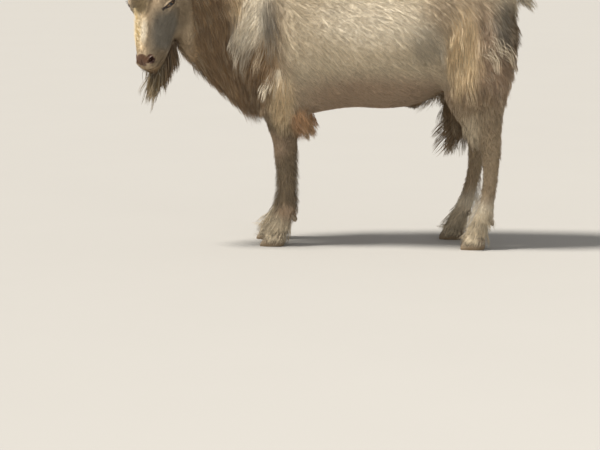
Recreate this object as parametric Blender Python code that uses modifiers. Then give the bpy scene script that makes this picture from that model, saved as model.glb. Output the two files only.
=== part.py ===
"""A standing goat, a bearded long-haired buck, at life size.

It faces -X with its own left side towards -Y, and its hooves stand on z = 0. The flesh is skinned
whole from oval sections, out to the tips of the coat, and then parted into named pieces by thin
cuts. Hooves, dewclaws, horns, ears, eyes, beard and tail are pieces of their own. Units are metres.
"""

import math

import bmesh
import bpy
from mathutils import Matrix, Vector

# Driving dimensions.
WITHERS_Z = 0.768
RUMP_Z = 0.760
BELLY_Z = 0.378
CHEST_X = -0.245
BUTTOCK_X = 0.515
FORE_Y = 0.070
HIND_Y = 0.100
FAR_FORE_STEP = -0.022
FAR_HIND_STEP = -0.062
CORONET_Z = 0.040
CORONET_SLOPE = math.radians(14)
FORE_TOE_X = -0.200
HIND_TOE_X = 0.362
CLAW_APART = 0.0168
CLAW_SPLAY = math.radians(4)

# The head's own frame: its origin is midway between the eyes.
HEAD = Vector((-0.492, -0.132, 0.679))
HEAD_YAW = math.radians(55)
HEAD_PITCH = math.radians(78)
EYE_SIDE = 0.0630
EYE_RADIUS = 0.0175
HORN_ARC = 0.190
HORN_SWEEP = math.radians(86)
HORN_SPLAY = 0.060
HORN_ROOT = 0.021
HORN_RINGS = 7
HORN_TAPER = 0.86
HORN_TAPER_POWER = 1.3
HORN_FLATNESS = 0.72
HORN_KEEL = 0.20
EAR_LENGTH = 0.125
BEARD_DROP = 0.104
BEARD_LEAN = 0.068

# Places and directions in the head's frame: down the nose, outwards, to its left.
EYE_OUT = 0.002
HORN_PLACE = (-0.082, 0.007, 0.029)
EAR_PLACE = (-0.070, -0.040, 0.044)
EAR_RUN = (-0.16, -0.36, 0.92)
EAR_FACE_UP = (-1.0, -0.10, 0.0)
BEARD_PLACE = (0.142, -0.064, 0.000)

# Places on the legs.
CORONET_RUN = 0.024
FORE_DEWCLAW = (-0.106, 0.084)
HIND_DEWCLAW = (0.446, 0.082)
DEWCLAW_APART = 0.0150
DEWCLAW_LENGTH = 0.018
DEWCLAW_RUN = (0.55, 0.0, -0.83)
DEWCLAW_ACROSS = (0.83, 0.0, 0.55)
CLAW_TAPER = 0.28

# Where the pieces of flesh part. Normals point to the side of the piece that is named.
HEAD_CUT_POINT = (-0.020, -0.110, 0.000)
HEAD_CUT_NORMAL = (-0.87, -0.46, -0.14)
NECK_CUT_POINT = (-0.255, 0.000, 0.575)
NECK_CUT_NORMAL = (-0.987, 0.000, 0.160)
FORE_CUT_FRONT = -0.262
FORE_CUT_BACK = -0.048
FORE_CUT_TOP = 0.405
FORE_CUT_INNER = 0.028
HIND_CUT_LOW = (0.272, 0.400)
HIND_CUT_TOP = (0.530, 0.640)
HIND_CUT_INNER = 0.018
HIND_CUT_LENGTH = 1.0
HIND_CUT_DEPTH = 0.8
CUT_REACH = 0.250
CUT_UNDER = 0.100
HALF_SPACE = 1.6

# How the flesh is skinned and cut.
GAP = 0.0004
SKIN_VOXEL = 0.006
SMOOTH_FACTOR = 0.5
SMOOTH_PASSES = 5
BODY_TRIANGLES = 5000
HEAD_WEIGHT = 0.5
HEAD_KEEPS = 0.003
HEAD_FROM = -0.100
HEAD_UNDER = -0.125
HEAD_SIDE = 0.090
STEPS = 3

# Trunk stations: x, top, bottom, half width, belly. Belly widens a ring towards its lower side.
TRUNK = (
    (CHEST_X, 0.705, 0.440, 0.066, 0.00),
    (-0.200, 0.752, 0.356, 0.104, 0.00),
    (-0.130, WITHERS_Z, 0.342, 0.132, 0.05),
    (-0.040, 0.758, 0.366, 0.152, 0.12),
    (0.060, 0.743, 0.381, 0.168, 0.16),
    (0.150, 0.739, BELLY_Z, 0.176, 0.16),
    (0.240, 0.747, 0.391, 0.170, 0.10),
    (0.320, RUMP_Z, 0.425, 0.156, 0.00),
    (0.400, RUMP_Z, 0.462, 0.142, -0.10),
    (0.470, 0.738, 0.505, 0.114, -0.10),
    (BUTTOCK_X, 0.700, 0.550, 0.074, 0.00),
)

# Neck stations: the ring's upper and lower points, half width, belly.
NECK = (
    ((-0.080, 0.000, 0.765), (-0.170, 0.000, 0.348), 0.118, 0.00),
    ((-0.180, 0.000, 0.768), (-0.262, 0.000, 0.374), 0.112, -0.05),
    ((-0.255, -0.006, 0.770), (-0.318, -0.008, 0.424), 0.098, -0.05),
    ((-0.325, -0.030, 0.780), (-0.366, -0.028, 0.468), 0.083, -0.05),
    ((-0.388, -0.062, 0.790), (-0.408, -0.052, 0.520), 0.070, 0.00),
    ((-0.436, -0.090, 0.792), (-0.436, -0.070, 0.572), 0.060, 0.00),
    ((-0.466, -0.112, 0.776), (-0.446, -0.084, 0.630), 0.046, 0.00),
)

# Leg stations, from the top down: z, front x, back x, distance from the middle, half width.
FORELEG = (
    (0.520, -0.222, -0.070, 0.082, 0.052),
    (0.430, -0.208, -0.066, 0.082, 0.047),
    (0.385, -0.194, -0.076, 0.081, 0.042),
    (0.340, -0.180, -0.085, 0.079, 0.037),
    (0.300, -0.165, -0.092, 0.077, 0.032),
    (0.268, -0.159, -0.093, 0.076, 0.031),
    (0.235, -0.152, -0.096, 0.074, 0.027),
    (0.180, -0.146, -0.096, 0.073, 0.023),
    (0.130, -0.147, -0.094, 0.072, 0.023),
    (0.098, -0.156, -0.094, 0.071, 0.029),
    (0.065, -0.174, -0.112, FORE_Y, 0.029),
    (0.038, -0.190, -0.116, FORE_Y, 0.032),
    (0.012, -0.194, -0.120, FORE_Y, 0.030),
)
HINDLEG = (
    (0.680, 0.370, 0.490, 0.070, 0.050),
    (0.590, 0.325, 0.517, 0.084, 0.062),
    (0.500, 0.302, 0.514, 0.094, 0.063),
    (0.430, 0.314, 0.497, 0.100, 0.055),
    (0.370, 0.345, 0.480, 0.103, 0.045),
    (0.320, 0.388, 0.476, 0.103, 0.035),
    (0.286, 0.414, 0.476, 0.103, 0.030),
    (0.245, 0.422, 0.472, 0.103, 0.026),
    (0.190, 0.424, 0.468, 0.103, 0.022),
    (0.135, 0.416, 0.459, 0.102, 0.023),
    (0.095, 0.400, 0.455, 0.101, 0.030),
    (0.062, 0.385, 0.440, HIND_Y, 0.030),
    (0.036, 0.372, 0.442, HIND_Y, 0.032),
    (0.012, 0.369, 0.438, HIND_Y, 0.030),
)

# Elbow tuft stations from the top down: front x and z, back x and z, from the middle, half width.
ELBOW = (
    ((-0.120, 0.450), (-0.140, 0.390), 0.086, 0.030),
    ((-0.068, 0.400), (-0.115, 0.345), 0.088, 0.026),
    ((-0.050, 0.345), (-0.088, 0.318), 0.088, 0.020),
    ((-0.050, 0.318), (-0.066, 0.304), 0.088, 0.010),
)

# Head stations in the head's frame: upper point (down the nose, outwards), lower point, half width.
SKULL = (
    ((-0.116, -0.024), (-0.092, -0.094), 0.042, 0.00),
    ((-0.094, 0.015), (-0.072, -0.112), 0.057, -0.10),
    ((-0.055, 0.036), (-0.044, -0.122), 0.063, -0.20),
    ((-0.015, 0.039), (-0.010, -0.122), 0.067, -0.25),
    ((0.028, 0.034), (0.026, -0.110), 0.062, -0.18),
    ((0.072, 0.028), (0.066, -0.093), 0.055, -0.10),
    ((0.114, 0.023), (0.106, -0.080), 0.048, 0.00),
    ((0.147, 0.018), (0.141, -0.069), 0.041, 0.00),
    ((0.171, 0.007), (0.169, -0.055), 0.033, 0.00),
    ((0.186, -0.011), (0.183, -0.043), 0.018, 0.00),
)

# Rounded masses on the flesh: centre, radii. The head's are in its own frame.
SHOULDER = ((-0.175, 0.070, 0.568), (0.094, 0.058, 0.150))
SHEATH = ((0.232, 0.000, 0.396), (0.034, 0.015, 0.021))
ORBIT = ((-0.002, 0.004, 0.051), (0.034, 0.029, 0.028))
CHEEK = ((-0.006, -0.070, 0.036), (0.052, 0.040, 0.021))
NOSTRIL = ((0.163, 0.001, 0.018), (0.016, 0.013, 0.013))
CHIN = ((0.171, -0.044, 0.000), (0.021, 0.018, 0.018))

# Claw stations from the sole up: front x and z from the toe, back x and z, half width.
CLAW = (
    ((0.001, 0.000), (0.070, 0.000), 0.0143),
    ((0.000, 0.007), (0.073, 0.005), 0.0158),
    ((0.014, 0.025), (0.073, 0.014), 0.0156),
    ((0.028, 0.048), (0.071, 0.042), 0.0150),
)

# Scrotum stations from the top down: z, front x, back x, half width.
SCROTUM = (
    (0.470, 0.318, 0.372, 0.026),
    (0.420, 0.308, 0.384, 0.034),
    (0.360, 0.306, 0.390, 0.042),
    (0.312, 0.316, 0.384, 0.036),
    (0.286, 0.334, 0.368, 0.018),
)

# Tail stations from the root: the upper and lower points, half width.
TAIL = (
    ((0.470, 0.742), (0.486, 0.690), 0.026),
    ((0.515, 0.738), (0.508, 0.690), 0.030),
    ((0.545, 0.718), (0.528, 0.676), 0.026),
    ((0.562, 0.690), (0.546, 0.664), 0.014),
    ((0.566, 0.668), (0.558, 0.658), 0.005),
)

# Ear stations: share of the length, half breadth, half thickness.
EAR = (
    (-0.08, 0.013, 0.012),
    (0.12, 0.020, 0.012),
    (0.40, 0.029, 0.009),
    (0.65, 0.027, 0.007),
    (0.88, 0.015, 0.005),
    (1.00, 0.004, 0.002),
)

# Beard stations: share of the drop, half depth, half width.
BEARD = (
    (-0.50, 0.018, 0.014),
    (0.00, 0.044, 0.023),
    (0.40, 0.046, 0.023),
    (0.75, 0.028, 0.015),
    (1.00, 0.007, 0.005),
)

# Dewclaw stations: share of the length, radius.
DEWCLAW = ((-0.60, 0.0070), (0.00, 0.0085), (0.70, 0.0065), (1.00, 0.0030))

COLOURS = {
    "coat": ((0.78, 0.70, 0.58), 0.85),
    "neck_coat": ((0.60, 0.47, 0.36), 0.85),
    "leg_coat": ((0.80, 0.74, 0.64), 0.85),
    "dark_coat": ((0.14, 0.09, 0.06), 0.85),
    "beard_hair": ((0.45, 0.31, 0.20), 0.85),
    "hoof_horn": ((0.36, 0.28, 0.19), 0.55),
    "horn": ((0.34, 0.28, 0.21), 0.50),
    "eye": ((0.24, 0.15, 0.05), 0.10),
}


def head_axes():
    """The head's axes as columns: down the nose, outwards from the face, towards its own left."""
    facing = Vector((-math.cos(HEAD_YAW), -math.sin(HEAD_YAW), 0.0))
    down = Vector((0.0, 0.0, -1.0))
    nose = facing * math.cos(HEAD_PITCH) + down * math.sin(HEAD_PITCH)
    out = facing * math.sin(HEAD_PITCH) - down * math.cos(HEAD_PITCH)
    left = Vector((0.0, 0.0, 1.0)).cross(facing)
    return Matrix((nose, out, left)).transposed()


HEAD_AXES = head_axes()

# Each side's name and the sign of its Y. The goat's own left is at -Y, and it is plus in in_head.
SIDES = (("left", -1), ("right", 1))


def in_head(nose, out, left=0.0):
    """A point of the head's own frame, in the goat's frame."""
    return HEAD + HEAD_AXES @ Vector((nose, out, left))


def collection(name):
    """A new collection in the scene."""
    made = bpy.data.collections.new(name)
    bpy.context.scene.collection.children.link(made)
    return made


def clear_scene():
    """Remove everything that the scene starts with."""
    for obj in list(bpy.data.objects):
        bpy.data.objects.remove(obj, do_unlink=True)


def material(name, colour, roughness):
    """A plain Principled material."""
    made = bpy.data.materials.new(name)
    made.use_nodes = True
    shader = made.node_tree.nodes["Principled BSDF"]
    shader.inputs["Base Color"].default_value = (*colour, 1.0)
    shader.inputs["Roughness"].default_value = roughness
    return made


def new_object(name, bm, where):
    """The bmesh as a smooth-shaded object with its faces pointing out."""
    bm.normal_update()
    bmesh.ops.recalc_face_normals(bm, faces=bm.faces)
    mesh = bpy.data.meshes.new(name)
    bm.to_mesh(mesh)
    bm.free()
    mesh.shade_smooth()
    obj = bpy.data.objects.new(name, mesh)
    where.objects.link(obj)
    return obj


def make_helper(obj):
    """Keep an object as a cutter or guide only."""
    obj.hide_render = True
    obj.display_type = "WIRE"
    return obj


def between(rows, steps):
    """Catmull-Rom rows of numbers through the given rows, with steps rows to each span."""
    made = []
    for i in range(len(rows) - 1):
        before = rows[max(i - 1, 0)]
        after = rows[min(i + 2, len(rows) - 1)]
        for k in range(steps):
            t = k / steps
            row = []
            for p0, p1, p2, p3 in zip(before, rows[i], rows[i + 1], after):
                cubic = -p0 + 3 * p1 - 3 * p2 + p3
                square = 2 * p0 - 5 * p1 + 4 * p2 - p3
                row.append(0.5 * (2 * p1 + (p2 - p0) * t + square * t * t + cubic * t**3))
            made.append(row)
    made.append(list(rows[-1]))
    return made


def loft(name, stations, where, around=16, steps=STEPS):
    """Skin oval rings. A station is (upper point, lower point, half width, belly)."""
    rows = [(*upper, *lower, half, belly) for upper, lower, half, belly in stations]
    rows = between(rows, steps)
    centres = [(Vector(row[0:3]) + Vector(row[3:6])) / 2 for row in rows]
    bm = bmesh.new()
    rings = []
    for i, row in enumerate(rows):
        up = (Vector(row[0:3]) - Vector(row[3:6])) / 2
        run = centres[min(i + 1, len(rows) - 1)] - centres[max(i - 1, 0)]
        side = up.cross(run).normalized()
        ring = []
        for k in range(around):
            turn = math.tau * k / around
            across = row[6] * math.sin(turn) * (1 - row[7] * math.cos(turn))
            ring.append(bm.verts.new(centres[i] + up * math.cos(turn) + side * across))
        rings.append(ring)
    for lower, upper in zip(rings, rings[1:]):
        for k in range(around):
            after = (k + 1) % around
            bm.faces.new((lower[k], lower[after], upper[after], upper[k]))
    bm.faces.new(rings[0])
    bm.faces.new(rings[-1])
    return new_object(name, bm, where)


def ball(name, centre, radii, where, axes=None, detail=(16, 10)):
    """An ellipsoid, turned by the axes if they are given."""
    turn = axes.to_4x4() if axes else Matrix.Identity(4)
    bm = bmesh.new()
    bmesh.ops.create_uvsphere(bm, u_segments=detail[0], v_segments=detail[1], radius=1.0)
    bm.transform(Matrix.Translation(centre) @ turn @ Matrix.Diagonal((*radii, 1.0)))
    return new_object(name, bm, where)


def box(name, centre, size, where, turn=None):
    """A closed box, turned about its centre by the matrix if one is given."""
    bm = bmesh.new()
    bmesh.ops.create_cube(bm, size=1.0)
    placed = Matrix.Translation(centre) @ (turn.to_4x4() if turn else Matrix.Identity(4))
    bm.transform(placed @ Matrix.Diagonal((*size, 1.0)))
    return new_object(name, bm, where)


def evaluated_mesh(obj, name):
    """The object's mesh as its modifiers leave it."""
    bpy.context.view_layer.update()
    graph = bpy.context.evaluated_depsgraph_get()
    made = bpy.data.meshes.new_from_object(obj.evaluated_get(graph))
    made.name = name
    return made


def fixed(obj):
    """Apply the object's modifiers."""
    old = obj.data
    obj.data = evaluated_mesh(obj, obj.name)
    obj.modifiers.clear()
    bpy.data.meshes.remove(old)
    return obj


def leg_stations(rows, side, step):
    """One leg's stations. A leg that steps ahead of its pair leans further the lower it goes."""
    top = rows[0][0]
    stations = []
    for z, front, back, apart, half in rows:
        ahead = step * (1 - z / top)
        upper = (front + ahead, side * apart, z)
        lower = (back + ahead, side * apart, z)
        stations.append((upper, lower, half, 0.0))
    return stations


def flesh_parts(where):
    """The overlapping solids that the flesh is skinned from."""
    trunk = [((x, 0, top), (x, 0, low), half, belly) for x, top, low, half, belly in TRUNK]
    yield loft("flesh_trunk", trunk, where, around=24)
    yield loft("flesh_neck", NECK, where, around=20)
    skull = [(in_head(*up), in_head(*low), half, belly) for up, low, half, belly in SKULL]
    yield loft("flesh_skull", skull, where, around=20)
    yield ball("flesh_sheath", *SHEATH, where)
    yield ball("flesh_chin", in_head(*CHIN[0]), CHIN[1], where, HEAD_AXES)
    for side in (-1, 1):
        for label, mass in (("orbit", ORBIT), ("cheek", CHEEK), ("nostril", NOSTRIL)):
            (nose, out, left), radii = mass
            place = in_head(nose, out, side * left)
            yield ball("flesh_" + label, place, radii, where, HEAD_AXES)
        (x, y, z), radii = SHOULDER
        yield ball("flesh_shoulder", (x, side * y, z), radii, where)
        fore_step = FAR_FORE_STEP if side > 0 else 0.0
        hind_step = FAR_HIND_STEP if side > 0 else 0.0
        yield loft("flesh_foreleg", leg_stations(FORELEG, side, fore_step), where)
        yield loft("flesh_hindleg", leg_stations(HINDLEG, side, hind_step), where)
        elbow = [
            ((x1, side * y, z1), (x2, side * y, z2), half, 0.0)
            for (x1, z1), (x2, z2), y, half in ELBOW
        ]
        yield loft("flesh_elbow", elbow, where)


def joined(name, objects):
    """One object that holds the meshes of all these."""
    bm = bmesh.new()
    for obj in objects:
        bm.from_mesh(obj.data)
        mesh = obj.data
        home = obj.users_collection[0]
        bpy.data.objects.remove(obj)
        bpy.data.meshes.remove(mesh)
    return new_object(name, bm, home)


def body_mesh(where):
    """The whole flesh as one smooth closed mesh, finer on the head."""
    flesh = joined("flesh", list(flesh_parts(where)))
    remesh = flesh.modifiers.new("Remesh", "REMESH")
    remesh.mode = "VOXEL"
    remesh.voxel_size = SKIN_VOXEL
    smooth = flesh.modifiers.new("Smooth", "SMOOTH")
    smooth.factor = SMOOTH_FACTOR
    smooth.iterations = SMOOTH_PASSES
    fixed(flesh)
    group = flesh.vertex_groups.new(name="coarse")
    to_head = HEAD_AXES.inverted()
    for vertex in flesh.data.vertices:
        nose, out, left = to_head @ (vertex.co - HEAD)
        near = nose > HEAD_FROM and out > HEAD_UNDER and abs(left) < HEAD_SIDE
        group.add([vertex.index], HEAD_WEIGHT if near else 1.0, "REPLACE")
    count = sum(len(face.vertices) - 2 for face in flesh.data.polygons)
    decimate = flesh.modifiers.new("Decimate", "DECIMATE")
    decimate.ratio = BODY_TRIANGLES / count
    decimate.vertex_group = group.name
    decimate.vertex_group_factor = HEAD_KEEPS
    decimate.use_collapse_triangulate = True
    return fixed(flesh)


def plane_box(name, point, normal, where):
    """A large box that lies beyond the plane, on the side that its normal points to."""
    turn = Vector(normal).to_track_quat("Z", "Y").to_matrix()
    centre = Vector(point) + Vector(normal).normalized() * HALF_SPACE / 2
    size = (HALF_SPACE, HALF_SPACE, HALF_SPACE)
    return make_helper(box(name, centre, size, where, turn))


def shifted_box(name, point, normal, where):
    """The same box with its face moved back by the gap, for the piece on the other side."""
    return plane_box(name, Vector(point) - Vector(normal).normalized() * GAP, normal, where)


def add_boolean(obj, cutter, operation):
    """A live Boolean of the object with the cutter."""
    modifier = obj.modifiers.new(cutter.name, "BOOLEAN")
    modifier.operation = operation
    modifier.object = cutter
    modifier.solver = "EXACT"


def paint(obj, colour):
    """Give the object one of the named materials."""
    obj.data.materials.clear()
    obj.data.materials.append(MATERIALS[colour])


def flesh_node(name, body, colour, keep, drop, parts):
    """A named piece of the body: what lies inside every kept region and outside every dropped one."""
    obj = bpy.data.objects.new(name, body.data.copy())
    parts.objects.link(obj)
    paint(obj, colour)
    for cutter in keep:
        add_boolean(obj, cutter, "INTERSECT")
    for cutter in drop:
        add_boolean(obj, cutter, "DIFFERENCE")
    return obj


def toe_x(pair, side):
    """Where a foot's toe tip stands. The right feet are a step ahead of the left ones."""
    if pair == "fore":
        return FORE_TOE_X + (FAR_FORE_STEP if side > 0 else 0.0)
    return HIND_TOE_X + (FAR_HIND_STEP if side > 0 else 0.0)


def foot_y(pair, side):
    """How far a foot stands from the middle."""
    return side * (FORE_Y if pair == "fore" else HIND_Y)


def coronet(name, toe, upwards, cutters):
    """A box on one side of the sloping plane where the hair ends and the hooves begin."""
    slope = Vector((math.sin(CORONET_SLOPE), 0.0, math.cos(CORONET_SLOPE)))
    point = Vector((toe + CORONET_RUN, 0.0, CORONET_Z))
    if upwards:
        return shifted_box(name, point, slope, cutters)
    return plane_box(name, point, -slope, cutters)


def leg_region(name, pair, side, grow, cutters):
    """The box that holds one leg, grown on every side by the given amount."""
    if pair == "fore":
        size = Vector((FORE_CUT_BACK - FORE_CUT_FRONT, CUT_REACH, FORE_CUT_TOP + CUT_UNDER))
        centre = Vector(
            (
                (FORE_CUT_BACK + FORE_CUT_FRONT) / 2,
                side * (FORE_CUT_INNER + CUT_REACH / 2),
                (FORE_CUT_TOP - CUT_UNDER) / 2,
            )
        )
        turn = None
    else:
        rise = math.atan2(HIND_CUT_TOP[1] - HIND_CUT_LOW[1], HIND_CUT_TOP[0] - HIND_CUT_LOW[0])
        turn = Matrix.Rotation(-rise, 3, "Y")
        size = Vector((HIND_CUT_LENGTH, CUT_REACH, HIND_CUT_DEPTH))
        middle = Vector(
            (
                (HIND_CUT_TOP[0] + HIND_CUT_LOW[0]) / 2,
                side * (HIND_CUT_INNER + CUT_REACH / 2),
                (HIND_CUT_TOP[1] + HIND_CUT_LOW[1]) / 2,
            )
        )
        centre = middle - turn @ Vector((0.0, 0.0, size.z / 2))
    grown = size + Vector((2 * grow, 2 * grow, 2 * grow))
    return make_helper(box(name, centre, grown, cutters, turn))


def make_eyes(parts, cutters):
    """The eyeballs, and the balls that cut their sockets."""
    sockets = []
    for label, side in SIDES:
        place = in_head(0.0, EYE_OUT, -side * EYE_SIDE)
        radii = (EYE_RADIUS, EYE_RADIUS, EYE_RADIUS)
        eye = ball("eye_" + label, place, radii, parts, HEAD_AXES, detail=(12, 8))
        paint(eye, "eye")
        room = tuple(radius + GAP for radius in radii)
        socket = ball("cut_eye_" + label, place, room, cutters, HEAD_AXES, detail=(12, 8))
        sockets.append(make_helper(socket))
    return sockets


def trimmed(obj, body_room, colour):
    """A piece that grows out of the body, cut to stand just clear of it."""
    paint(obj, colour)
    add_boolean(obj, body_room, "DIFFERENCE")
    return obj


def make_horns(body_room, parts):
    """Tapering horns that rise from the brow and sweep back along an arc."""
    for label, side in SIDES:
        stations = []
        for k in range(-1, HORN_RINGS + 1):
            share = k / HORN_RINGS
            turn = HORN_SWEEP * share
            nose = HORN_PLACE[0] - HORN_ARC * math.sin(turn)
            out = HORN_PLACE[1] - HORN_ARC * (1 - math.cos(turn))
            left = -side * (HORN_PLACE[2] + HORN_SPLAY * share * abs(share))
            thick = HORN_ROOT * (1 - HORN_TAPER * max(share, 0.0) ** HORN_TAPER_POWER)
            rise = (math.sin(turn) * thick, math.cos(turn) * thick)
            front = in_head(nose - rise[0], out + rise[1], left)
            back = in_head(nose + rise[0], out - rise[1], left)
            stations.append((front, back, HORN_FLATNESS * thick, HORN_KEEL))
        horn = loft("horn_" + label, stations, parts, around=10, steps=1)
        trimmed(horn, body_room, "horn")


def make_ears(body_room, parts):
    """Leaf-shaped ears that stand out sideways and a little back."""
    for label, side in SIDES:
        root = in_head(EAR_PLACE[0], EAR_PLACE[1], -side * EAR_PLACE[2])
        run = (HEAD_AXES @ Vector((EAR_RUN[0], EAR_RUN[1], -side * EAR_RUN[2]))).normalized()
        breadth = (HEAD_AXES @ Vector(EAR_FACE_UP)).cross(run).cross(run).normalized()
        stations = []
        for share, half, thick in EAR:
            middle = root + run * (EAR_LENGTH * share)
            stations.append((middle + breadth * half, middle - breadth * half, thick, 0.0))
        ear = loft("ear_" + label, stations, parts, around=10, steps=1)
        trimmed(ear, body_room, "coat")


def make_beard(body_room, parts):
    """The beard hangs from the jaw and leans a little forward."""
    root = in_head(*BEARD_PLACE)
    facing = Vector((-math.cos(HEAD_YAW), -math.sin(HEAD_YAW), 0.0))
    stations = []
    for share, deep, half in BEARD:
        lean = facing * (BEARD_LEAN * max(share, 0.0))
        middle = root + lean - Vector((0.0, 0.0, BEARD_DROP * share))
        stations.append((middle + facing * deep, middle - facing * deep, half, 0.0))
    beard = loft("beard", stations, parts, around=12, steps=1)
    trimmed(beard, body_room, "beard_hair")


def make_tail(body_room, parts):
    """The short tail, resting against the rump."""
    stations = [
        ((x1, 0.0, z1), (x2, 0.0, z2), half, 0.0) for (x1, z1), (x2, z2), half in TAIL
    ]
    trimmed(loft("tail", stations, parts, around=12, steps=1), body_room, "coat")


def make_scrotum(body_room, parts):
    """The hairy pouch that hangs between the thighs."""
    stations = [((x1, 0.0, z), (x2, 0.0, z), half, 0.0) for z, x1, x2, half in SCROTUM]
    scrotum = loft("scrotum", stations, parts, around=14, steps=1)
    trimmed(scrotum, body_room, "dark_coat")


def make_claws(pair, label, side, cutters, parts):
    """The two toes of one foot, with flat soles on the floor."""
    toe = toe_x(pair, side)
    above = coronet(f"cut_above_{pair}_{label}", toe, True, cutters)
    for place, apart in (("outer", side), ("inner", -side)):
        y = foot_y(pair, side) + apart * CLAW_APART
        heel = Vector((toe + CLAW[0][1][0], y, 0.0))
        splay = Matrix.Rotation(-apart * CLAW_SPLAY, 3, "Z")
        stations = []
        for (front, front_z), (back, back_z), half in CLAW:
            upper = heel + splay @ (Vector((toe + front, y, front_z)) - heel)
            lower = heel + splay @ (Vector((toe + back, y, back_z)) - heel)
            stations.append((upper, lower, half, CLAW_TAPER))
        claw = loft(f"hoof_{pair}_{label}_{place}", stations, parts, around=10, steps=1)
        paint(claw, "hoof_horn")
        add_boolean(claw, above, "DIFFERENCE")


def make_dewclaws(pair, label, side, body_room, parts):
    """Two small dewclaws behind the fetlock."""
    root_x, root_z = FORE_DEWCLAW if pair == "fore" else HIND_DEWCLAW
    step = toe_x(pair, side) - toe_x(pair, -1)
    for place, apart in (("outer", side), ("inner", -side)):
        y = foot_y(pair, side) + apart * DEWCLAW_APART
        root = Vector((root_x + step, y, root_z))
        stations = []
        for share, radius in DEWCLAW:
            middle = root + Vector(DEWCLAW_RUN) * (DEWCLAW_LENGTH * share)
            across = Vector(DEWCLAW_ACROSS) * radius
            stations.append((middle + across, middle - across, radius, 0.0))
        name = f"dewclaw_{pair}_{label}_{place}"
        dewclaw = loft(name, stations, parts, around=6, steps=1)
        trimmed(dewclaw, body_room, "hoof_horn")


def centre_on_floor():
    """Move everything sideways so that the middle of the whole box's floor is the origin."""
    bpy.context.view_layer.update()
    graph = bpy.context.evaluated_depsgraph_get()
    corners = []
    for obj in bpy.data.objects:
        if not obj.hide_render:
            shown = obj.evaluated_get(graph)
            corners += [shown.matrix_world @ Vector(corner) for corner in shown.bound_box]
    for axis in (0, 1):
        values = [corner[axis] for corner in corners]
        for obj in bpy.data.objects:
            obj.location[axis] = -(min(values) + max(values)) / 2


def build_goat():
    """The goat's named pieces in one collection, and the cutters in another."""
    parts = collection("goat")
    cutters = collection("cutters")
    body = make_helper(body_mesh(cutters))
    body_room = bpy.data.objects.new("cut_body_room", body.data.copy())
    cutters.objects.link(make_helper(body_room))
    displace = body_room.modifiers.new("Displace", "DISPLACE")
    displace.mid_level = 0.0
    displace.strength = GAP

    head_point = in_head(*HEAD_CUT_POINT)
    keep_head = plane_box("cut_keep_head", head_point, HEAD_CUT_NORMAL, cutters)
    drop_head = shifted_box("cut_drop_head", head_point, HEAD_CUT_NORMAL, cutters)
    keep_neck = plane_box("cut_keep_neck", NECK_CUT_POINT, NECK_CUT_NORMAL, cutters)
    drop_neck = shifted_box("cut_drop_neck", NECK_CUT_POINT, NECK_CUT_NORMAL, cutters)
    sockets = make_eyes(parts, cutters)
    flesh_node("head", body, "coat", [keep_head], sockets, parts)
    flesh_node("neck", body, "neck_coat", [keep_neck], [drop_head], parts)

    taken = [drop_neck]
    for pair in ("fore", "hind"):
        for label, side in SIDES:
            name = f"{pair}leg_{label}"
            region = leg_region(f"cut_keep_{name}", pair, side, 0.0, cutters)
            below = coronet(f"cut_below_{name}", toe_x(pair, side), False, cutters)
            flesh_node(name, body, "leg_coat", [region], [below], parts)
            taken.append(leg_region(f"cut_drop_{name}", pair, side, GAP, cutters))
            make_claws(pair, label, side, cutters, parts)
            make_dewclaws(pair, label, side, body_room, parts)
    flesh_node("trunk", body, "coat", [], taken, parts)

    make_horns(body_room, parts)
    make_ears(body_room, parts)
    make_beard(body_room, parts)
    make_tail(body_room, parts)
    make_scrotum(body_room, parts)
    centre_on_floor()


clear_scene()
MATERIALS = {name: material(name, colour, rough) for name, (colour, rough) in COLOURS.items()}
build_goat()
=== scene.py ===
"""A life-size goat, a bearded long-haired buck: its skin, coat, eyes, horns and hooves.

One skin lies inside the frame's flesh by the depth of the coat. Long locks are grown over it from
fields of lie, length, lift and colour, and short hair is scattered by Geometry Nodes. The same
fields colour the skin and the hair. Units are metres; the goat faces -X, its own left is at -Y.
"""

import math

import bmesh
import bpy
import numpy as np
from bpy.props import FloatProperty, FloatVectorProperty, IntProperty, PointerProperty
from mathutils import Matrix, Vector, noise
from mathutils.bvhtree import BVHTree
from mathutils.kdtree import KDTree


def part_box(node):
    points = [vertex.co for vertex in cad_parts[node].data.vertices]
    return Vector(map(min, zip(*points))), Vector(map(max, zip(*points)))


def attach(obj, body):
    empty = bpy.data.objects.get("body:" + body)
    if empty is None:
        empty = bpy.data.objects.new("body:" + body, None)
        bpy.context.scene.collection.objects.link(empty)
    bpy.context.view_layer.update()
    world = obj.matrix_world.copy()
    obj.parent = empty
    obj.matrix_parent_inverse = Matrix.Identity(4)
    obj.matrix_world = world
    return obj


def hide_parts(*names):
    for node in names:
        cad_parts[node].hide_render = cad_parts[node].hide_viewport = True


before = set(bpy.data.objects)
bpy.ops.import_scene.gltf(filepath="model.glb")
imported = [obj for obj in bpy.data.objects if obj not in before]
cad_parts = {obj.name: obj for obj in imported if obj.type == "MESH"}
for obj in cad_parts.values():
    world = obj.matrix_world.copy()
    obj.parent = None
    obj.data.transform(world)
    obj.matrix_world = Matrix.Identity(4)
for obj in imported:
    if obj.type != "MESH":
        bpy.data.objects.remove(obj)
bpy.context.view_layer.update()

bl_info = {
    "name": "Goat",
    "version": (1, 0, 0),
    "blender": (4, 5, 0),
    "location": "3D View > Sidebar > Goat",
    "description": "Builds the skin, coat, eyes, horns and hooves of a life-size goat",
    "category": "Object",
}

# Flesh nodes by region. One skin replaces them all.
FLESH = {
    "head": ("head",),
    "neck": ("neck",),
    "trunk": ("trunk",),
    "tail": ("tail",),
    "foreleg": ("foreleg_left", "foreleg_right"),
    "hindleg": ("hindleg_left", "hindleg_right"),
    "ear": ("ear_left", "ear_right"),
    "scrotum": ("scrotum",),
}
REGIONS = tuple(FLESH)
SIDES = ((1, "left"), (-1, "right"))

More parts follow.
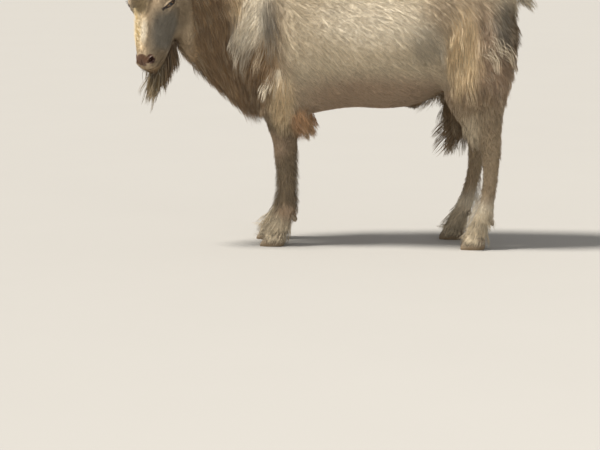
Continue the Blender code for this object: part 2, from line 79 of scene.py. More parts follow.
# The skin: how far the flesh nodes are swelled so that they join, and the sizes of its mesh.
SEAM_OVERLAP = 0.0009
LIMB_VOXEL = 0.005
SKIN_VOXEL = 0.007
HEAD_PITCH = math.radians(78)

# The left eye in the head's frame, whose axes run down the nose, outwards and to the left.
EYE_OUT = 0.002
GAZE = (-0.10, 0.34, 0.94)
OUTER_CORNER = (-0.69, -0.67, 0.27)
UPPER_LID = (-0.75, 0.62, -0.20)

# The lids over the eyeball: how far out they lie, how their opening bows, how deep it goes, and
# their folds, each with its distance from the opening, its breadth and its height.
LID_OUT = 0.0016
LID_BOW = 0.0012
LID_RIM = 0.0012
SLIT_DEPTH = 0.0035
LID_FOLDS = (
    (0.0022, 0.0018, 0.0012),
    (0.0074, 0.0016, -0.0013),
    (0.0115, 0.0026, 0.0014),
    (0.0165, 0.0022, -0.0008),
)

# The face: raised and hollow places, each with centre, radii and height, the nostrils with their
# length, breadth and depth, and the mouth's line, with its height and slope from the front.
FACE_FORMS = {
    "brow": ((-0.030, 0.020, 0.054), (0.034, 0.026, 0.026), 0.0045),
    "tear_hollow": ((0.050, 0.006, 0.043), (0.036, 0.020, 0.016), -0.0026),
    "face_ridge": ((0.040, -0.040, 0.053), (0.052, 0.014, 0.020), 0.0030),
    "cheek_hollow": ((0.075, -0.062, 0.042), (0.040, 0.024, 0.020), -0.0026),
    "bridge": ((0.085, 0.030, 0.000), (0.090, 0.020, 0.014), 0.0016),
    "lip_pad": ((0.160, -0.018, 0.026), (0.022, 0.016, 0.014), 0.0022),
    "chin": ((0.170, -0.052, 0.000), (0.018, 0.014, 0.020), 0.0020),
}
NOSTRIL_PLACE = (0.1535, 0.003, 0.0280)
NOSTRIL_RUN = (-0.72, -0.20, 0.66)
NOSTRIL_SIZE = (0.0092, 0.0036, 0.0075)
NOSTRIL_RIM = 0.0020
MOUTH_FRONT = 0.178
MOUTH_LINE = (-0.0140, 0.46)
MOUTH_CORNER = 0.126
MOUTH_DEPTH = 0.0034
LIP_HEIGHT = 0.0013
CLEFT_DEPTH = 0.0026

# Coat by region: its depth over the skin, then the hair's length, width, lift in degrees, wave,
# colour and lie.
COAT = {
    "head": (0.0020, 0.008, 0.0009, 14, 0.0, "fawn", (0.0, 0.0, 1.0)),
    "neck": (0.0120, 0.060, 0.0017, 13, 0.4, "tan", (0.30, 0.00, -0.95)),
    "trunk": (0.0110, 0.030, 0.0011, 10, 0.05, "cream", (0.80, 0.00, -0.60)),
    "tail": (0.0090, 0.050, 0.0020, 18, 0.5, "white", (0.55, 0.00, -0.85)),
    # The forelegs' taupe is partly painted shade from the body above them.
    "foreleg": (0.0030, 0.016, 0.0012, 20, 0.1, "taupe", (0.05, 0.00, -1.00)),
    "hindleg": (0.0030, 0.017, 0.0012, 24, 0.1, "fawn", (-0.05, 0.00, -1.00)),
    "ear": (0.0015, 0.008, 0.0011, 14, 0.0, "fawn", (0.0, 0.0, 1.0)),
    "scrotum": (0.0080, 0.066, 0.0015, 16, 0.7, "taupe", (-0.34, 0.00, -0.93)),
}


def area(centre, radii, strength=1.0, **changes):
    """An area of the coat: its place and size, how fully it takes over, and what changes there."""
    return centre, radii, strength, changes


# Areas of the coat that differ from their region, each laid over those before it. They are the
# same on both sides, but one of the head whose place is on the right stays on the right.
BODY_AREAS = {
    # The chest's tan is partly painted shade.
    "chest": area(
        (-0.265, 0.0, 0.44), (0.1, 0.18, 0.17), length=0.064, colour="tan",
        lie=(0.25, 0.0, -0.97)),
    "back": area(
        (0.1, 0.0, 0.79), (0.52, 0.15, 0.1), length=0.056, lift=15, wave=0.4, width=0.0017,
        lie=(0.65, 0.65, -0.35)),
    "shoulder": area(
        (-0.195, 0.12, 0.6), (0.095, 0.14, 0.205), length=0.08, lift=15, wave=0.6, width=0.0018,
        depth=0.016, colour="fawn", lie=(0.02, 0.0, -1.0)),
    "mane_gold": area((-0.262, 0.1, 0.69), (0.044, 0.14, 0.075), 0.6, colour="gold"),
    "shoulder_front": area(
        (-0.234, 0.1, 0.6), (0.06, 0.14, 0.098), colour="white", lie=(-0.3, 0.0, -0.95),
        length=0.07, wave=0.4, lift=20, depth=0.02),
    "shoulder_top": area(
        (-0.214, 0.1, 0.68), (0.052, 0.14, 0.145), 0.9, colour="white", lie=(-0.3, 0.0, -0.95),
        length=0.07, wave=0.4, lift=20, depth=0.018),
    # Painted shade: the grey behind the shoulder and the taupe in the hollow there stand for the
    # shade between the shoulder locks and the flank.
    "shoulder_painted_shade": area((-0.172, 0.12, 0.64), (0.03, 0.12, 0.1), 0.8, colour="grey"),
    "shoulder_hollow": area(
        (-0.145, 0.15, 0.68), (0.042, 0.1, 0.06), 0.9, colour="taupe", depth=0.022, length=0.05),
    # The lower shoulder's tan is partly painted shade on the lower side of the body.
    "lower_shoulder": area(
        (-0.196, 0.12, 0.48), (0.1, 0.12, 0.13), length=0.074, colour="tan", wave=0.8,
        lie=(-0.25, 0.0, -0.96)),
    "white_lock": area(
        (-0.142, 0.12, 0.48), (0.026, 0.1, 0.024), colour="white", length=0.085, lift=30,
        lie=(-0.42, 0.0, -0.9)),
    "upper_flank": area(
        (0.11, 0.16, 0.655), (0.24, 0.16, 0.12), 0.9, colour="white", length=0.034),
    # Painted shade: the lower flank is pink for the shade on the underside. On the belly the pink
    # is partly pink skin under thin hair and partly painted shade.
    "lower_flank": area(
        (0.12, 0.1, 0.42), (0.32, 0.2, 0.1), 0.9, colour="pink", length=0.022, width=0.0011),
    "belly": area(
        (0.1, 0.0, 0.37), (0.34, 0.16, 0.055), 0.9, colour="pink", length=0.02, width=0.0012,
        depth=0.007, lie=(1.0, 0.0, -0.1)),
    "hip": area(
        (0.35, 0.14, 0.68), (0.14, 0.14, 0.12), 0.95, length=0.044, wave=0.3, colour="fawn",
        lie=(0.62, 0.0, -0.78)),
    # Painted shade: grey in the hollow of the flank.
    "flank_hollow_shade": area(
        (0.262, 0.14, 0.575), (0.06, 0.12, 0.07), 0.35, colour="grey", lie=(0.3, 0.0, -0.95)),
    "thigh": area(
        (0.43, 0.12, 0.53), (0.14, 0.13, 0.2), length=0.05, lift=14, wave=0.6, width=0.0019,
        depth=0.012, colour="pink", lie=(0.25, 0.0, -0.97)),
    "thigh_lock": area(
        (0.366, 0.14, 0.552), (0.068, 0.13, 0.165), length=0.082, lift=18, wave=0.5, width=0.0019,
        depth=0.014, colour="gold", lie=(-0.04, 0.0, -1.0)),
    "stifle_edge": area(
        (0.308, 0.14, 0.56), (0.014, 0.12, 0.05), 0.6, length=0.06, lift=20, colour="white",
        lie=(-0.1, 0.0, -1.0)),
    "gaskin": area(
        (0.41, 0.11, 0.39), (0.1, 0.09, 0.09), 0.9, length=0.03, width=0.0016, depth=0.008,
        colour="fawn", lie=(0.15, 0.0, -0.98)),
    "thigh_foot": area((0.405, 0.14, 0.432), (0.07, 0.12, 0.05), 0.45, colour="tan"),
    # Painted shade: the grey rump and the umber buttocks stand for the shade on the back of the
    # goat.
    "rump_painted_shade": area((0.484, 0.1, 0.625), (0.058, 0.13, 0.105), 0.85, colour="grey"),
    "buttock": area(
        (0.525, 0.07, 0.6), (0.055, 0.13, 0.16), 0.65, length=0.05, lift=26, wave=1.0, width=0.002,
        colour="umber", lie=(0.25, 0.0, -0.97)),
    "buttock_curls": area(
        (0.472, 0.1, 0.552), (0.04, 0.08, 0.044), 0.8, length=0.06, lift=30, wave=1.6,
        width=0.0022, lie=(0.55, 0.0, -0.8)),
    "forearm": area(
        (-0.134, 0.1, 0.41), (0.046, 0.08, 0.105), 0.85, length=0.054, lift=18, wave=0.5,
        width=0.0016, depth=0.006, colour="gold", lie=(-0.1, 0.0, -0.99)),
    "elbow": area(
        (-0.078, 0.1, 0.352), (0.044, 0.08, 0.05), 0.9, length=0.048, lift=20, wave=0.8,
        width=0.0016, depth=0.009, colour="orange", lie=(0.55, 0.0, -0.83)),
    "groin": area(
        (0.315, 0.0, 0.43), (0.062, 0.08, 0.08), 0.9, length=0.095, lift=26, wave=0.8,
        colour="umber", width=0.0016, lie=(-0.05, 0.0, -1.0)),
    "sheath": area(
        (0.232, 0.0, 0.388), (0.036, 0.028, 0.026), length=0.022, lift=12, colour="umber",
        lie=(-0.2, 0.0, -1.0)),
    "hock_front": area(
        (0.392, 0.1, 0.345), (0.042, 0.055, 0.06), length=0.058, lift=20, wave=0.5, colour="cream",
        width=0.0016, lie=(-0.08, 0.0, -1.0)),
    # Painted shade: the inner thighs are umber for the shade between the hind legs.
    "inner_thigh": area(
        (0.36, 0.02, 0.44), (0.1, 0.055, 0.12), 0.9, colour="umber", length=0.058,
        lie=(0.0, 0.0, -1.0)),
    "knee": area((-0.16, 0.07, 0.29), (0.08, 0.08, 0.06), 0.7, colour="pink"),
    "foreleg_front": area(
        (-0.16, 0.08, 0.19), (0.032, 0.09, 0.12), length=0.028, lift=34, width=0.0014,
        lie=(-0.25, 0.0, -0.96)),
    "foreleg_back": area(
        (-0.095, 0.08, 0.2), (0.032, 0.09, 0.12), length=0.032, lift=32, width=0.0014,
        lie=(0.35, 0.0, -0.93)),
    "cannon_front": area(
        (0.404, 0.1, 0.125), (0.036, 0.12, 0.085), length=0.042, lift=38, width=0.0014,
        lie=(-0.3, 0.0, -0.95)),
    "hind_cannon": area((0.41, 0.1, 0.075), (0.2, 0.12, 0.09), colour="white"),
    "fore_foot": area(
        (-0.175, 0.07, 0.055), (0.14, 0.12, 0.056), colour="cream", length=0.054, lift=20,
        wave=0.5, width=0.0019, lie=(-0.5, 0.0, -0.86)),
    "hind_foot": area(
        (0.366, 0.1, 0.055), (0.2, 0.14, 0.06), colour="cream", length=0.056, lift=20, wave=0.5,
        width=0.0019, lie=(-0.5, 0.0, -0.86)),
    "fore_fetlock": area(
        (-0.122, 0.07, 0.1), (0.036, 0.07, 0.028), 0.8, colour="pink", length=0.034, lift=34,
        lie=(0.4, 0.0, -0.9)),
    "hind_fetlock": area(
        (0.435, 0.1, 0.09), (0.045, 0.07, 0.034), 0.9, colour="cream", length=0.036, lift=32,
        lie=(0.3, 0.0, -0.9)),
}
HEAD_AREAS = {
    "forehead": area(
        (-0.02, 0.034, -0.014), (0.092, 0.052, 0.05), 0.9, colour="ochre", length=0.017, lift=20,
        lie=(0.75, 0.0, 0.65)),
    "forelock": area(
        (-0.098, 0.01, 0.0), (0.034, 0.045, 0.036), colour="gold", length=0.055, lift=26, wave=0.7,
        width=0.0016, lie=(0.8, 0.25, 0.55)),
    "brow": area(
        (-0.034, 0.022, 0.058), (0.028, 0.03, 0.022), 0.9, colour="cream", length=0.02, lift=34,
        lie=(0.5, 0.3, 0.8)),
    # Painted shade: the sides of the face are grey for the shade on them.
    "face_side_shade": area((0.07, -0.018, 0.05), (0.112, 0.072, 0.062), colour="grey"),
    "cheek": area(
        (0.0, -0.075, 0.05), (0.07, 0.06, 0.045), 0.9, colour="taupe", length=0.011, depth=0.004,
        lie=(-0.6, -0.7, 0.1)),
    "bridge": area((0.085, 0.028, 0.0), (0.074, 0.034, 0.02), colour="gold", length=0.01),
    "bridge_crest": area(
        (0.085, 0.03, 0.006), (0.056, 0.026, 0.015), colour="white", length=0.022, lift=50,
        width=0.001, wave=0.4, lie=(-0.55, 0.0, 0.85)),
    # Painted light: the right side of the bridge is straw while the left side is grey, as if light
    # fell on the right.
    "bridge_far": area(
        (0.08, 0.026, -0.022), (0.085, 0.034, 0.026), colour="straw", length=0.019, lift=30,
        lie=(-0.85, 0.0, 0.5)),
    "throat": area(
        (0.045, -0.16, 0.0), (0.15, 0.085, 0.105), colour="tan", length=0.04, depth=0.008,
        width=0.0016, lift=16, lie=(0.9, -0.4, 0.0)),
    "poll": area(
        (-0.105, -0.06, 0.0), (0.05, 0.08, 0.085), colour="tan", length=0.04, depth=0.008,
        width=0.0018, wave=0.4, lie=(0.15, -0.9, 0.2)),
    "jaw": area(
        (0.108, -0.085, 0.0), (0.07, 0.038, 0.05), colour="umber", length=0.054, lift=38,
        width=0.0014, wave=0.6, lie=(0.85, -0.5, 0.0)),
    "muzzle": area((0.15, -0.02, 0.036), (0.042, 0.04, 0.026), 0.9, colour="taupe", length=0.006),
    # Painted shade: the chin is umber for the shade under the muzzle.
    "chin": area(
        (0.174, -0.031, 0.0), (0.052, 0.035, 0.044), colour="umber", length=0.012, lift=24,
        lie=(0.7, -0.2, 0.1)),
    # Painted highlight: only the right side of the lips is white, as if light fell on that side.
    "lips": area(
        (0.184, -0.014, -0.027), (0.016, 0.02, 0.021), 0.9, colour="white", length=0.006,
        lie=(0.3, -0.4, 0.8)),
}

# Locks over the rest of the coat: how far they droop, then their area, whose strength is the
# number of roots in a square metre.
LOCKS = {
    "coat_tips": (0.3, area(
        (-0.17, 0.12, 0.47), (0.018, 0.1, 0.022), 70000, colour="white", length=0.056,
        width=0.0018, lift=20, wave=0.5, depth=0.03, lie=(-0.3, 0.0, -0.95))),
    "coat_curls": (1.6, area(
        (0.446, 0.12, 0.56), (0.06, 0.12, 0.046), 11000, colour="cream", length=0.08, width=0.0013,
        lift=42, wave=1.3, depth=0.014, lie=(0.9, 0.0, -0.2))),
    "coat_bristles": (0.2, area(
        (0.335, 0.02, 0.33), (0.045, 0.06, 0.05), 12000, colour="umber", length=0.066,
        width=0.0024, lift=20, wave=0.4, lie=(-0.66, 0.0, -0.75))),
    "coat_fringe_fore": (0.3, area(
        (-0.175, 0.09, 0.066), (0.11, 0.1, 0.026), 330000, colour="cream", length=0.05,
        width=0.0021, lift=6, wave=0.35, depth=0.003, lie=(-0.4, 0.0, -0.92))),
    "coat_fringe_hind": (0.3, area(
        (0.366, 0.12, 0.066), (0.13, 0.12, 0.026), 330000, colour="cream", length=0.05,
        width=0.0021, lift=6, wave=0.35, depth=0.003, lie=(-0.4, 0.0, -0.92))),
}

# Bare skin in the head's frame: centre, radii, colour.
BARE = {
    "nose": ((0.158, 0.011, 0.0), (0.022, 0.023, 0.027), "nose"),
    "wing": ((0.153, 0.004, 0.0255), (0.018, 0.020, 0.012), "nose"),
    # Painted shade: the nostrils are near black for the shade inside them.
    "nostril": ((0.154, 0.001, 0.0275), (0.0105, 0.011, 0.0080), "nostril"),
}

# Horn and ear shapes, as in the frame, with the horns' taper, oval and keel, and how far the ears'
# rims turn forwards and their fronts are hollowed.
HORN_PLACE = (-0.082, 0.007, 0.029)
HORN_ARC = 0.190
HORN_SWEEP = math.radians(86)
HORN_SPLAY = 0.060
HORN_ROOT = 0.0205
HORN_TAPER = 0.86
HORN_BREADTH = 0.72
HORN_KEEL = 0.20
HORN_ROWS = 130
HORN_SIDES = 28
EAR_PLACE = (-0.070, -0.040, 0.044)
EAR_RUN = (-0.16, -0.36, 0.92)
EAR_LENGTH = 0.125
EAR_RIM = 0.009
EAR_HOLLOW = 0.0105

# Hair longer than LONG_HAIR is grown in locks, so many hairs to a lock, and shorter hair is
# scattered. They mix over LONG_BLEND.
LONG_HAIR = 0.0125
LONG_BLEND = 0.003
LOCK_HAIRS = 11

# The length of a hair's steps, the length and swing of its waves, how fast it turns to hang, how
# deep it is rooted, how far it keeps from the skin and the ground, the size of a tuft's patch on
# the skin's unwrap, how far short hairs sway from their lie, and the height below which hairs keep
# clear of the claws.
SEGMENT = 0.013
WAVE_LENGTH = 0.040
WAVE_SWING = 0.0045
BEND = 22
ROOT_DEPTH = 0.0012
SKIN_CLEAR = 0.0004
GROUND_CLEAR = 0.002
PATCH = 0.003
SWAY = 0.22
HOOF_TOP = 0.052
HOOF_CLEAR = 0.0012

# Where the flank starts behind the shoulder, and the rump behind the flank.
FLANK_FROM = -0.035
RUMP_FROM = 0.265

# The beard: its roots, how many to the square metre, its length and what is added to it in front,
# its width, and how its front and back lean.
BEARD_AREA = ((0.122, -0.070, 0.0), (0.086, 0.038, 0.038))
BEARD_ROOTS = 600000
BEARD_LENGTH = 0.078
BEARD_FRONT_EXTRA = 0.028
BEARD_WIDTH = 0.0016
BEARD_SWEEP = (-0.42, 0.0, 0.0)
BEARD_BACK = (0.30, 0.0, 0.0)

# How high the dried earth reaches on the hooves, and how a pupil's slot is narrowed.
EARTH_HEIGHT = 0.016
PUPIL_SQUASH = 0.42

# Whiskers: their roots, how many to the square metre, their lengths and width. Lashes: how many to
# a lid, how far out from the eyeball they start, their length and width.
WHISKER_AREA = ((0.165, -0.045, 0.0), (0.026, 0.030, 0.040))
WHISKER_ROOTS = 14000
WHISKER_LENGTHS = (0.010, 0.026)
WHISKER_WIDTH = 0.0005
LASH_COUNT = 30
LASH_OUT = 0.0022
LASH_LENGTH = 0.0085
LASH_WIDTH = 0.0006

# The finish of each kind of hair: roughness, gleam, sheen, then the shades from tuft to tuft,
# from root to tip and along the strands, and the strength and depth of its bump.
HAIRS = {
    # Both kinds of hair are darker at the root than at the tip. The darker root is painted shade
    # among the hairs.
    "goat_hair": (0.55, 0.35, 0.12, (0.78, 1.16), (0.70, 1.14), (0.86, 1.14), (0.25, 0.0005)),
    "goat_short_hair": (0.6, 0.25, 0.10, (0.90, 1.08), (0.84, 1.06), (0.92, 1.08), (0.2, 0.0004)),
}

# Pieces of the short coat, each with the regions where its tufts are scattered.
SHORT_PIECES = {"short_coat_head": ("head", "neck"), "short_coat_ears": ("ear",)}

# The stage.
CAMERA_PLACE = (0.3994, -7.0070, 1.0362)
CAMERA_AIM = (-0.0842, -0.0920, 0.0620)
CAMERA_LENS = 150.0
LAMP_AIM = (0.0, 0.0, 0.45)
SUN_FROM = (-0.62, -0.16, 1.10)
SUN_SPREAD = math.radians(14)
SUN_STRENGTH = 4.8
SUN_COLOUR = (1.0, 0.95, 0.87)
FILL_PLACE = (1.6, -4.2, 2.4)
FILL_SIZE = 3.0
FILL_POWER = 22.0
SKY_STRENGTH = 0.36
SOFT_WHITE = (1.0, 0.98, 0.95)
FLOOR_COLOUR = (0.46, 0.45, 0.43)
FLOOR_HALF = 600.0


def paint(name, description, rgb):
    """A colour that the user can change."""
    return FloatVectorProperty(
        name=name, description=description, default=rgb, min=0.0, max=1.0, size=3, subtype="COLOR"
    )


def number(name, description, default, low, high):
    """A plain number that the user can change."""
    return FloatProperty(name=name, description=description, default=default, min=low, max=high)


def metres(name, description, default):
    """A size that the user can change."""
    return FloatProperty(name=name, description=description, default=default, unit="LENGTH")


class GoatColours(bpy.types.PropertyGroup):
    """The colours of the coat, bare skin, eyes, hooves and horns."""

    white: paint("White", "Shoulder, upper flank, tail, lips and hind cannons", (0.9, 0.81, 0.65))
    cream: paint("Cream", "Most of the trunk, the brows and the feet", (0.735, 0.625, 0.455))
    # Straw is painted light on the right side of the bridge.
    straw: paint("Straw", "Right side of the bridge of the nose", (0.68, 0.53, 0.28))
    gold: paint("Gold", "Bridge of the nose, forelock, forearms and thighs", (0.87, 0.68, 0.42))
    fawn: paint("Fawn", "Face, ears, shoulders, hips and hind legs", (0.48, 0.37, 0.245))
    # Grey is painted shade. It stands for the shade on the sides of the face, in the hollows and on
    # the rump.
    grey: paint("Grey", "Sides of the face, hollows and the rump", (0.225, 0.2, 0.16))
    # On the lower flank pink is painted shade, and on the belly it is partly painted shade.
    pink: paint("Pink", "Belly, thighs, knees and the insides of the ears", (0.5, 0.36, 0.245))
    # On the chest and the lower shoulders, tan is partly painted shade.
    tan: paint("Tan", "Neck, throat, chest and beard", (0.31, 0.2, 0.105))
    # On the forelegs taupe is partly painted shade, and in the hollow behind the shoulder it is
    # painted shade.
    taupe: paint("Taupe", "Cheeks, muzzle, forelegs and scrotum", (0.26, 0.195, 0.122))
    orange: paint("Orange", "Behind the elbows", (0.68, 0.41, 0.22))
    ochre: paint("Ochre", "Forehead and the front of the beard", (0.225, 0.165, 0.082))
    # On the buttocks, the inner thighs and the chin, umber is painted shade. On the hooves it is
    # dried earth.
    umber: paint("Umber", "Jaw, groin, buttocks and earth on the hooves", (0.2, 0.125, 0.055))
    dark: paint("Dark", "Lashes", (0.075, 0.047, 0.028))
    nose: paint("Nose", "Bare skin of the nose", (0.1, 0.05, 0.027))
    # The nostril colour is painted shade inside the hollow.
    nostril: paint("Nostril", "Inside of the nostrils", (0.045, 0.018, 0.013))
    # The lid colour is also painted shade past the corners of the eye.
    lid: paint("Lid", "Rims of the lids", (0.035, 0.022, 0.018))
    # The iris's dark brown is partly painted shade under the lids.
    iris: paint("Iris", "Iris", (0.17, 0.085, 0.025))
    hoof: paint("Hoof", "Hooves", (0.29, 0.23, 0.16))
    horn: paint("Horn", "Horns", (0.30, 0.24, 0.17))


class GoatCoat(bpy.types.PropertyGroup):
    """The sizes of the hair."""

    length: number("Length", "Scale of every hair's length", 1.0, 0.3, 1.5)
    width: number("Width", "Scale of every tuft's width", 1.0, 0.5, 3.0)
    cover: number("Cover", "How many times over the long tufts cover the skin", 3.0, 0.5, 8.0)
    short_cover: number("Short Cover", "The same for the short tufts", 1.3, 0.1, 4.0)
    swirl: FloatProperty(
        name="Swirl",
        description="How far the lie turns from place to place",
        default=math.radians(24),
        subtype="ANGLE",
    )
    seed: IntProperty(name="Seed", description="Seed of everything random", default=7)


class GoatHead(bpy.types.PropertyGroup):
    """The sizes of the eyes, lids and horn rings."""

    eye_radius: metres("Eye Radius", "Radius of an eyeball", 0.0165)
    lid_length: metres("Lid Opening Length", "From one corner of the eye to the other", 0.0310)
    lid_opening: metres("Lid Opening Height", "Height of the opening between the lids", 0.0064)
    horn_rings: IntProperty(name="Horn Rings", description="Rings on each horn", default=19)
    ring_height: metres("Ring Height", "Height of a horn's rings", 0.0010)


def settings(group):
    """One of the three groups of settings."""
    return getattr(bpy.context.scene, "goat_" + group)


def colour(name):
    return np.array(getattr(settings("colours"), name))


# Numbers.


def smooth(x):
    """0 to 1, easing in and out."""
    x = np.clip(x, 0.0, 1.0)
    return x * x * (3.0 - 2.0 * x)


def unit(v):
    return v / np.maximum(np.linalg.norm(v, axis=-1, keepdims=True), 1e-9)


def within(points, centre, radii):
    """1 at the centre of an ellipsoid, 0 outside it."""
    away = np.linalg.norm((points - np.array(centre)) / np.array(radii), axis=1)
    return smooth((1.0 - away) * 1.6)


def middle(node):
    low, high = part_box(node)
    return (np.array(low) + np.array(high)) / 2


# The head's own frame: its origin is midway between the eyes.
LEFT_EYE = middle("eye_left")
RIGHT_EYE = middle("eye_right")
HEAD_LEFT = unit(LEFT_EYE - RIGHT_EYE)
HEAD_FACING = np.array([HEAD_LEFT[1], -HEAD_LEFT[0], 0.0])
HEAD_NOSE = HEAD_FACING * math.cos(HEAD_PITCH) - np.array([0.0, 0.0, math.sin(HEAD_PITCH)])
HEAD_FRONT = HEAD_FACING * math.sin(HEAD_PITCH) + np.array([0.0, 0.0, math.cos(HEAD_PITCH)])
HEAD_AXES = np.stack([HEAD_NOSE, HEAD_FRONT, HEAD_LEFT])
HEAD = (LEFT_EYE + RIGHT_EYE) / 2 - HEAD_FRONT * EYE_OUT
EYE_SIDE = float(np.linalg.norm(LEFT_EYE - RIGHT_EYE)) / 2
EYE_PLACE = (0.0, EYE_OUT, EYE_SIDE)


def to_head(points):
    return (points - HEAD) @ HEAD_AXES.T


def from_head(points):
    return HEAD + np.asarray(points) @ HEAD_AXES


def mirrored(values, side):
    """Head-frame values with left and right exchanged where side is -1."""
    return np.asarray(values) * np.array([1.0, 1.0, side])


def folded(head):
    """Head-frame places with those on the right taken over to the left."""
    return np.concatenate([head[:, :2], np.abs(head[:, 2:])], axis=1)


# Meshes.


def placed(name, data):
    """A new object of the data in the scene, at the origin."""
    made = bpy.data.objects.new(name, data)
    bpy.context.scene.collection.objects.link(made)
    return made


def show(name, mesh, nodes=(), material=None):
    """The mesh as a finished piece that stands for the given CAD nodes."""
    mesh.name = name
    piece = placed(name, mesh)
    if material:
        mesh.materials.clear()
        mesh.materials.append(material)
    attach(piece, "root")
    if nodes:
        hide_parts(*nodes)
    return piece


def vectors(collection, key, width=3):
    values = np.empty(len(collection) * width, np.float32)
    collection.foreach_get(key, values)
    return values.reshape(-1, width).astype(float) if width > 1 else values


def indices(items, width, key="vertices"):
    """The vertices or the loops of a mesh's edges or triangles."""
    found = np.empty(len(items) * width, np.int32)
    items.foreach_get(key, found)
    return found.reshape(-1, width)


def triangles_of(mesh, key="vertices"):
    mesh.calc_loop_triangles()
    return indices(mesh.loop_triangles, 3, key)


def move(mesh, points):
    """Put the vertices at the given places."""
    mesh.vertices.foreach_set("co", np.ascontiguousarray(points, np.float32).ravel())
    mesh.update()


def triangle_mesh(name, points, triangles):
    """A mesh from arrays of points and triangles."""
    mesh = bpy.data.meshes.new(name)
    mesh.vertices.add(len(points))
    mesh.vertices.foreach_set("co", np.ascontiguousarray(points, np.float32).ravel())
    mesh.loops.add(len(triangles) * 3)
    mesh.loops.foreach_set("vertex_index", np.ascontiguousarray(triangles, np.int32).ravel())
    mesh.polygons.add(len(triangles))
    mesh.polygons.foreach_set("loop_start", np.arange(len(triangles), dtype=np.int32) * 3)
    mesh.update(calc_edges=True)
    return mesh


def store(mesh, name, values, kind="FLOAT"):
    """Keep one value for each vertex as an attribute of the mesh."""
    if name in mesh.attributes:
        mesh.attributes.remove(mesh.attributes[name])
    key = {"FLOAT": "value", "FLOAT_VECTOR": "vector", "FLOAT_COLOR": "color"}[kind]
    if kind == "FLOAT_COLOR" and values.shape[1] == 3:
        values = np.hstack([values, np.ones((len(values), 1))])
    attribute = mesh.attributes.new(name, kind, "POINT")
    attribute.data.foreach_set(key, np.ascontiguousarray(values, np.float32).ravel())


def evaluated(obj):
    """A plain mesh of the object as its modifiers leave it. The object goes."""
    bpy.context.view_layer.update()
    graph = bpy.context.evaluated_depsgraph_get()
    mesh = bpy.data.meshes.new_from_object(obj.evaluated_get(graph))
    bpy.data.objects.remove(obj)
    return mesh


def remeshed(mesh, size, passes):
    """The mesh skinned anew at the given size and smoothed."""
    obj = placed("skinning", mesh)
    remesh = obj.modifiers.new("Remesh", "REMESH")
    remesh.mode = "VOXEL"
    remesh.voxel_size = size
    even = obj.modifiers.new("Smooth", "SMOOTH")
    even.factor = 0.5
    even.iterations = passes
    return evaluated(obj)


def merged(node):
    """A bmesh copy of a CAD node with its loose triangles joined up."""
    bm = bmesh.new()
    bm.from_mesh(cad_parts[node].data)
    bmesh.ops.remove_doubles(bm, verts=bm.verts, dist=1e-5)
    bm.normal_update()
    return bm


def as_mesh(name, bm):
    mesh = bpy.data.meshes.new(name)
    bm.to_mesh(mesh)
    bm.free()
    return mesh


def relaxed(values, edges, passes):
    """Values of the vertices, evened out along the edges."""
    count = len(values)
    ends = np.concatenate([edges, edges[:, ::-1]])
    meeting = np.maximum(np.bincount(ends[:, 0], minlength=count), 1)
    values = values.astype(float)
    for _ in range(passes):
        sums = [np.bincount(ends[:, 0], column[ends[:, 1]], count) for column in values.T]
        values = (values + np.stack(sums, axis=1) / meeting[:, None]) / 2
    return values


class Surface:
    """The skin as triangles: what the hair is rooted in and lies upon."""

    def __init__(self, mesh, weights):
        self.points = vectors(mesh.vertices, "co")
        self.normals = vectors(mesh.vertex_normals, "vector")
        self.weights = weights
        self.triangles = triangles_of(mesh)
        self.places = vectors(mesh.uv_layers["OFBake"].uv, "vector", 2)[triangles_of(mesh, "loops")]
        a, b, c = (self.points[self.triangles[:, k]] for k in range(3))
        cross = np.cross(b - a, c - a)
        self.areas = np.linalg.norm(cross, axis=1) / 2
        self.facing = unit(cross)
        self.tree = BVHTree.FromPolygons(
            self.points.tolist(), self.triangles.tolist(), all_triangles=True
        )

    def mixed(self, values, faces, shares):
        """Values of the vertices, at places given by face and corner shares."""
        return (values[self.triangles[faces]] * shares[:, :, None]).sum(axis=1)

    def roots(self, density, rng):
        """Random places on the skin, so many to the square metre round each vertex."""
        density = density[self.triangles].mean(axis=1)
        total = np.concatenate([[0.0], np.cumsum(self.areas * density)])
        count = int(total[-1])
        picks = (np.arange(count) + rng.random(count)) * total[-1] / max(count, 1)
        faces = np.clip(np.searchsorted(total, picks) - 1, 0, len(self.areas) - 1)
        u, v = rng.random((2, count))
        over = u + v > 1
        u[over], v[over] = 1 - u[over], 1 - v[over]
        return faces, np.stack([1 - u - v, u, v], axis=1)

    def nearest(self, points):
        """The nearest place on the skin to each point, with its face and its normal."""
        found = [self.tree.find_nearest(point) for point in points.tolist()]
        faces = np.array([hit[2] for hit in found])
        return np.array([hit[0] for hit in found]), faces, self.facing[faces]

    def unwrapped(self, points, faces):
        """Where points on given faces lie on the skin's unwrap."""
        a, b, c = (self.points[self.triangles[faces, k]] for k in range(3))
        whole = np.cross(b - a, c - a)
        square = np.maximum((whole * whole).sum(axis=1), 1e-20)
        second = (np.cross(points - a, c - a) * whole).sum(axis=1) / square
        third = (np.cross(b - a, points - a) * whole).sum(axis=1) / square
        shares = np.clip(np.stack([1 - second - third, second, third], axis=1), 0, 1)
        return (self.places[faces] * shares[:, :, None]).sum(axis=1)


# What the coat looks like at any place.


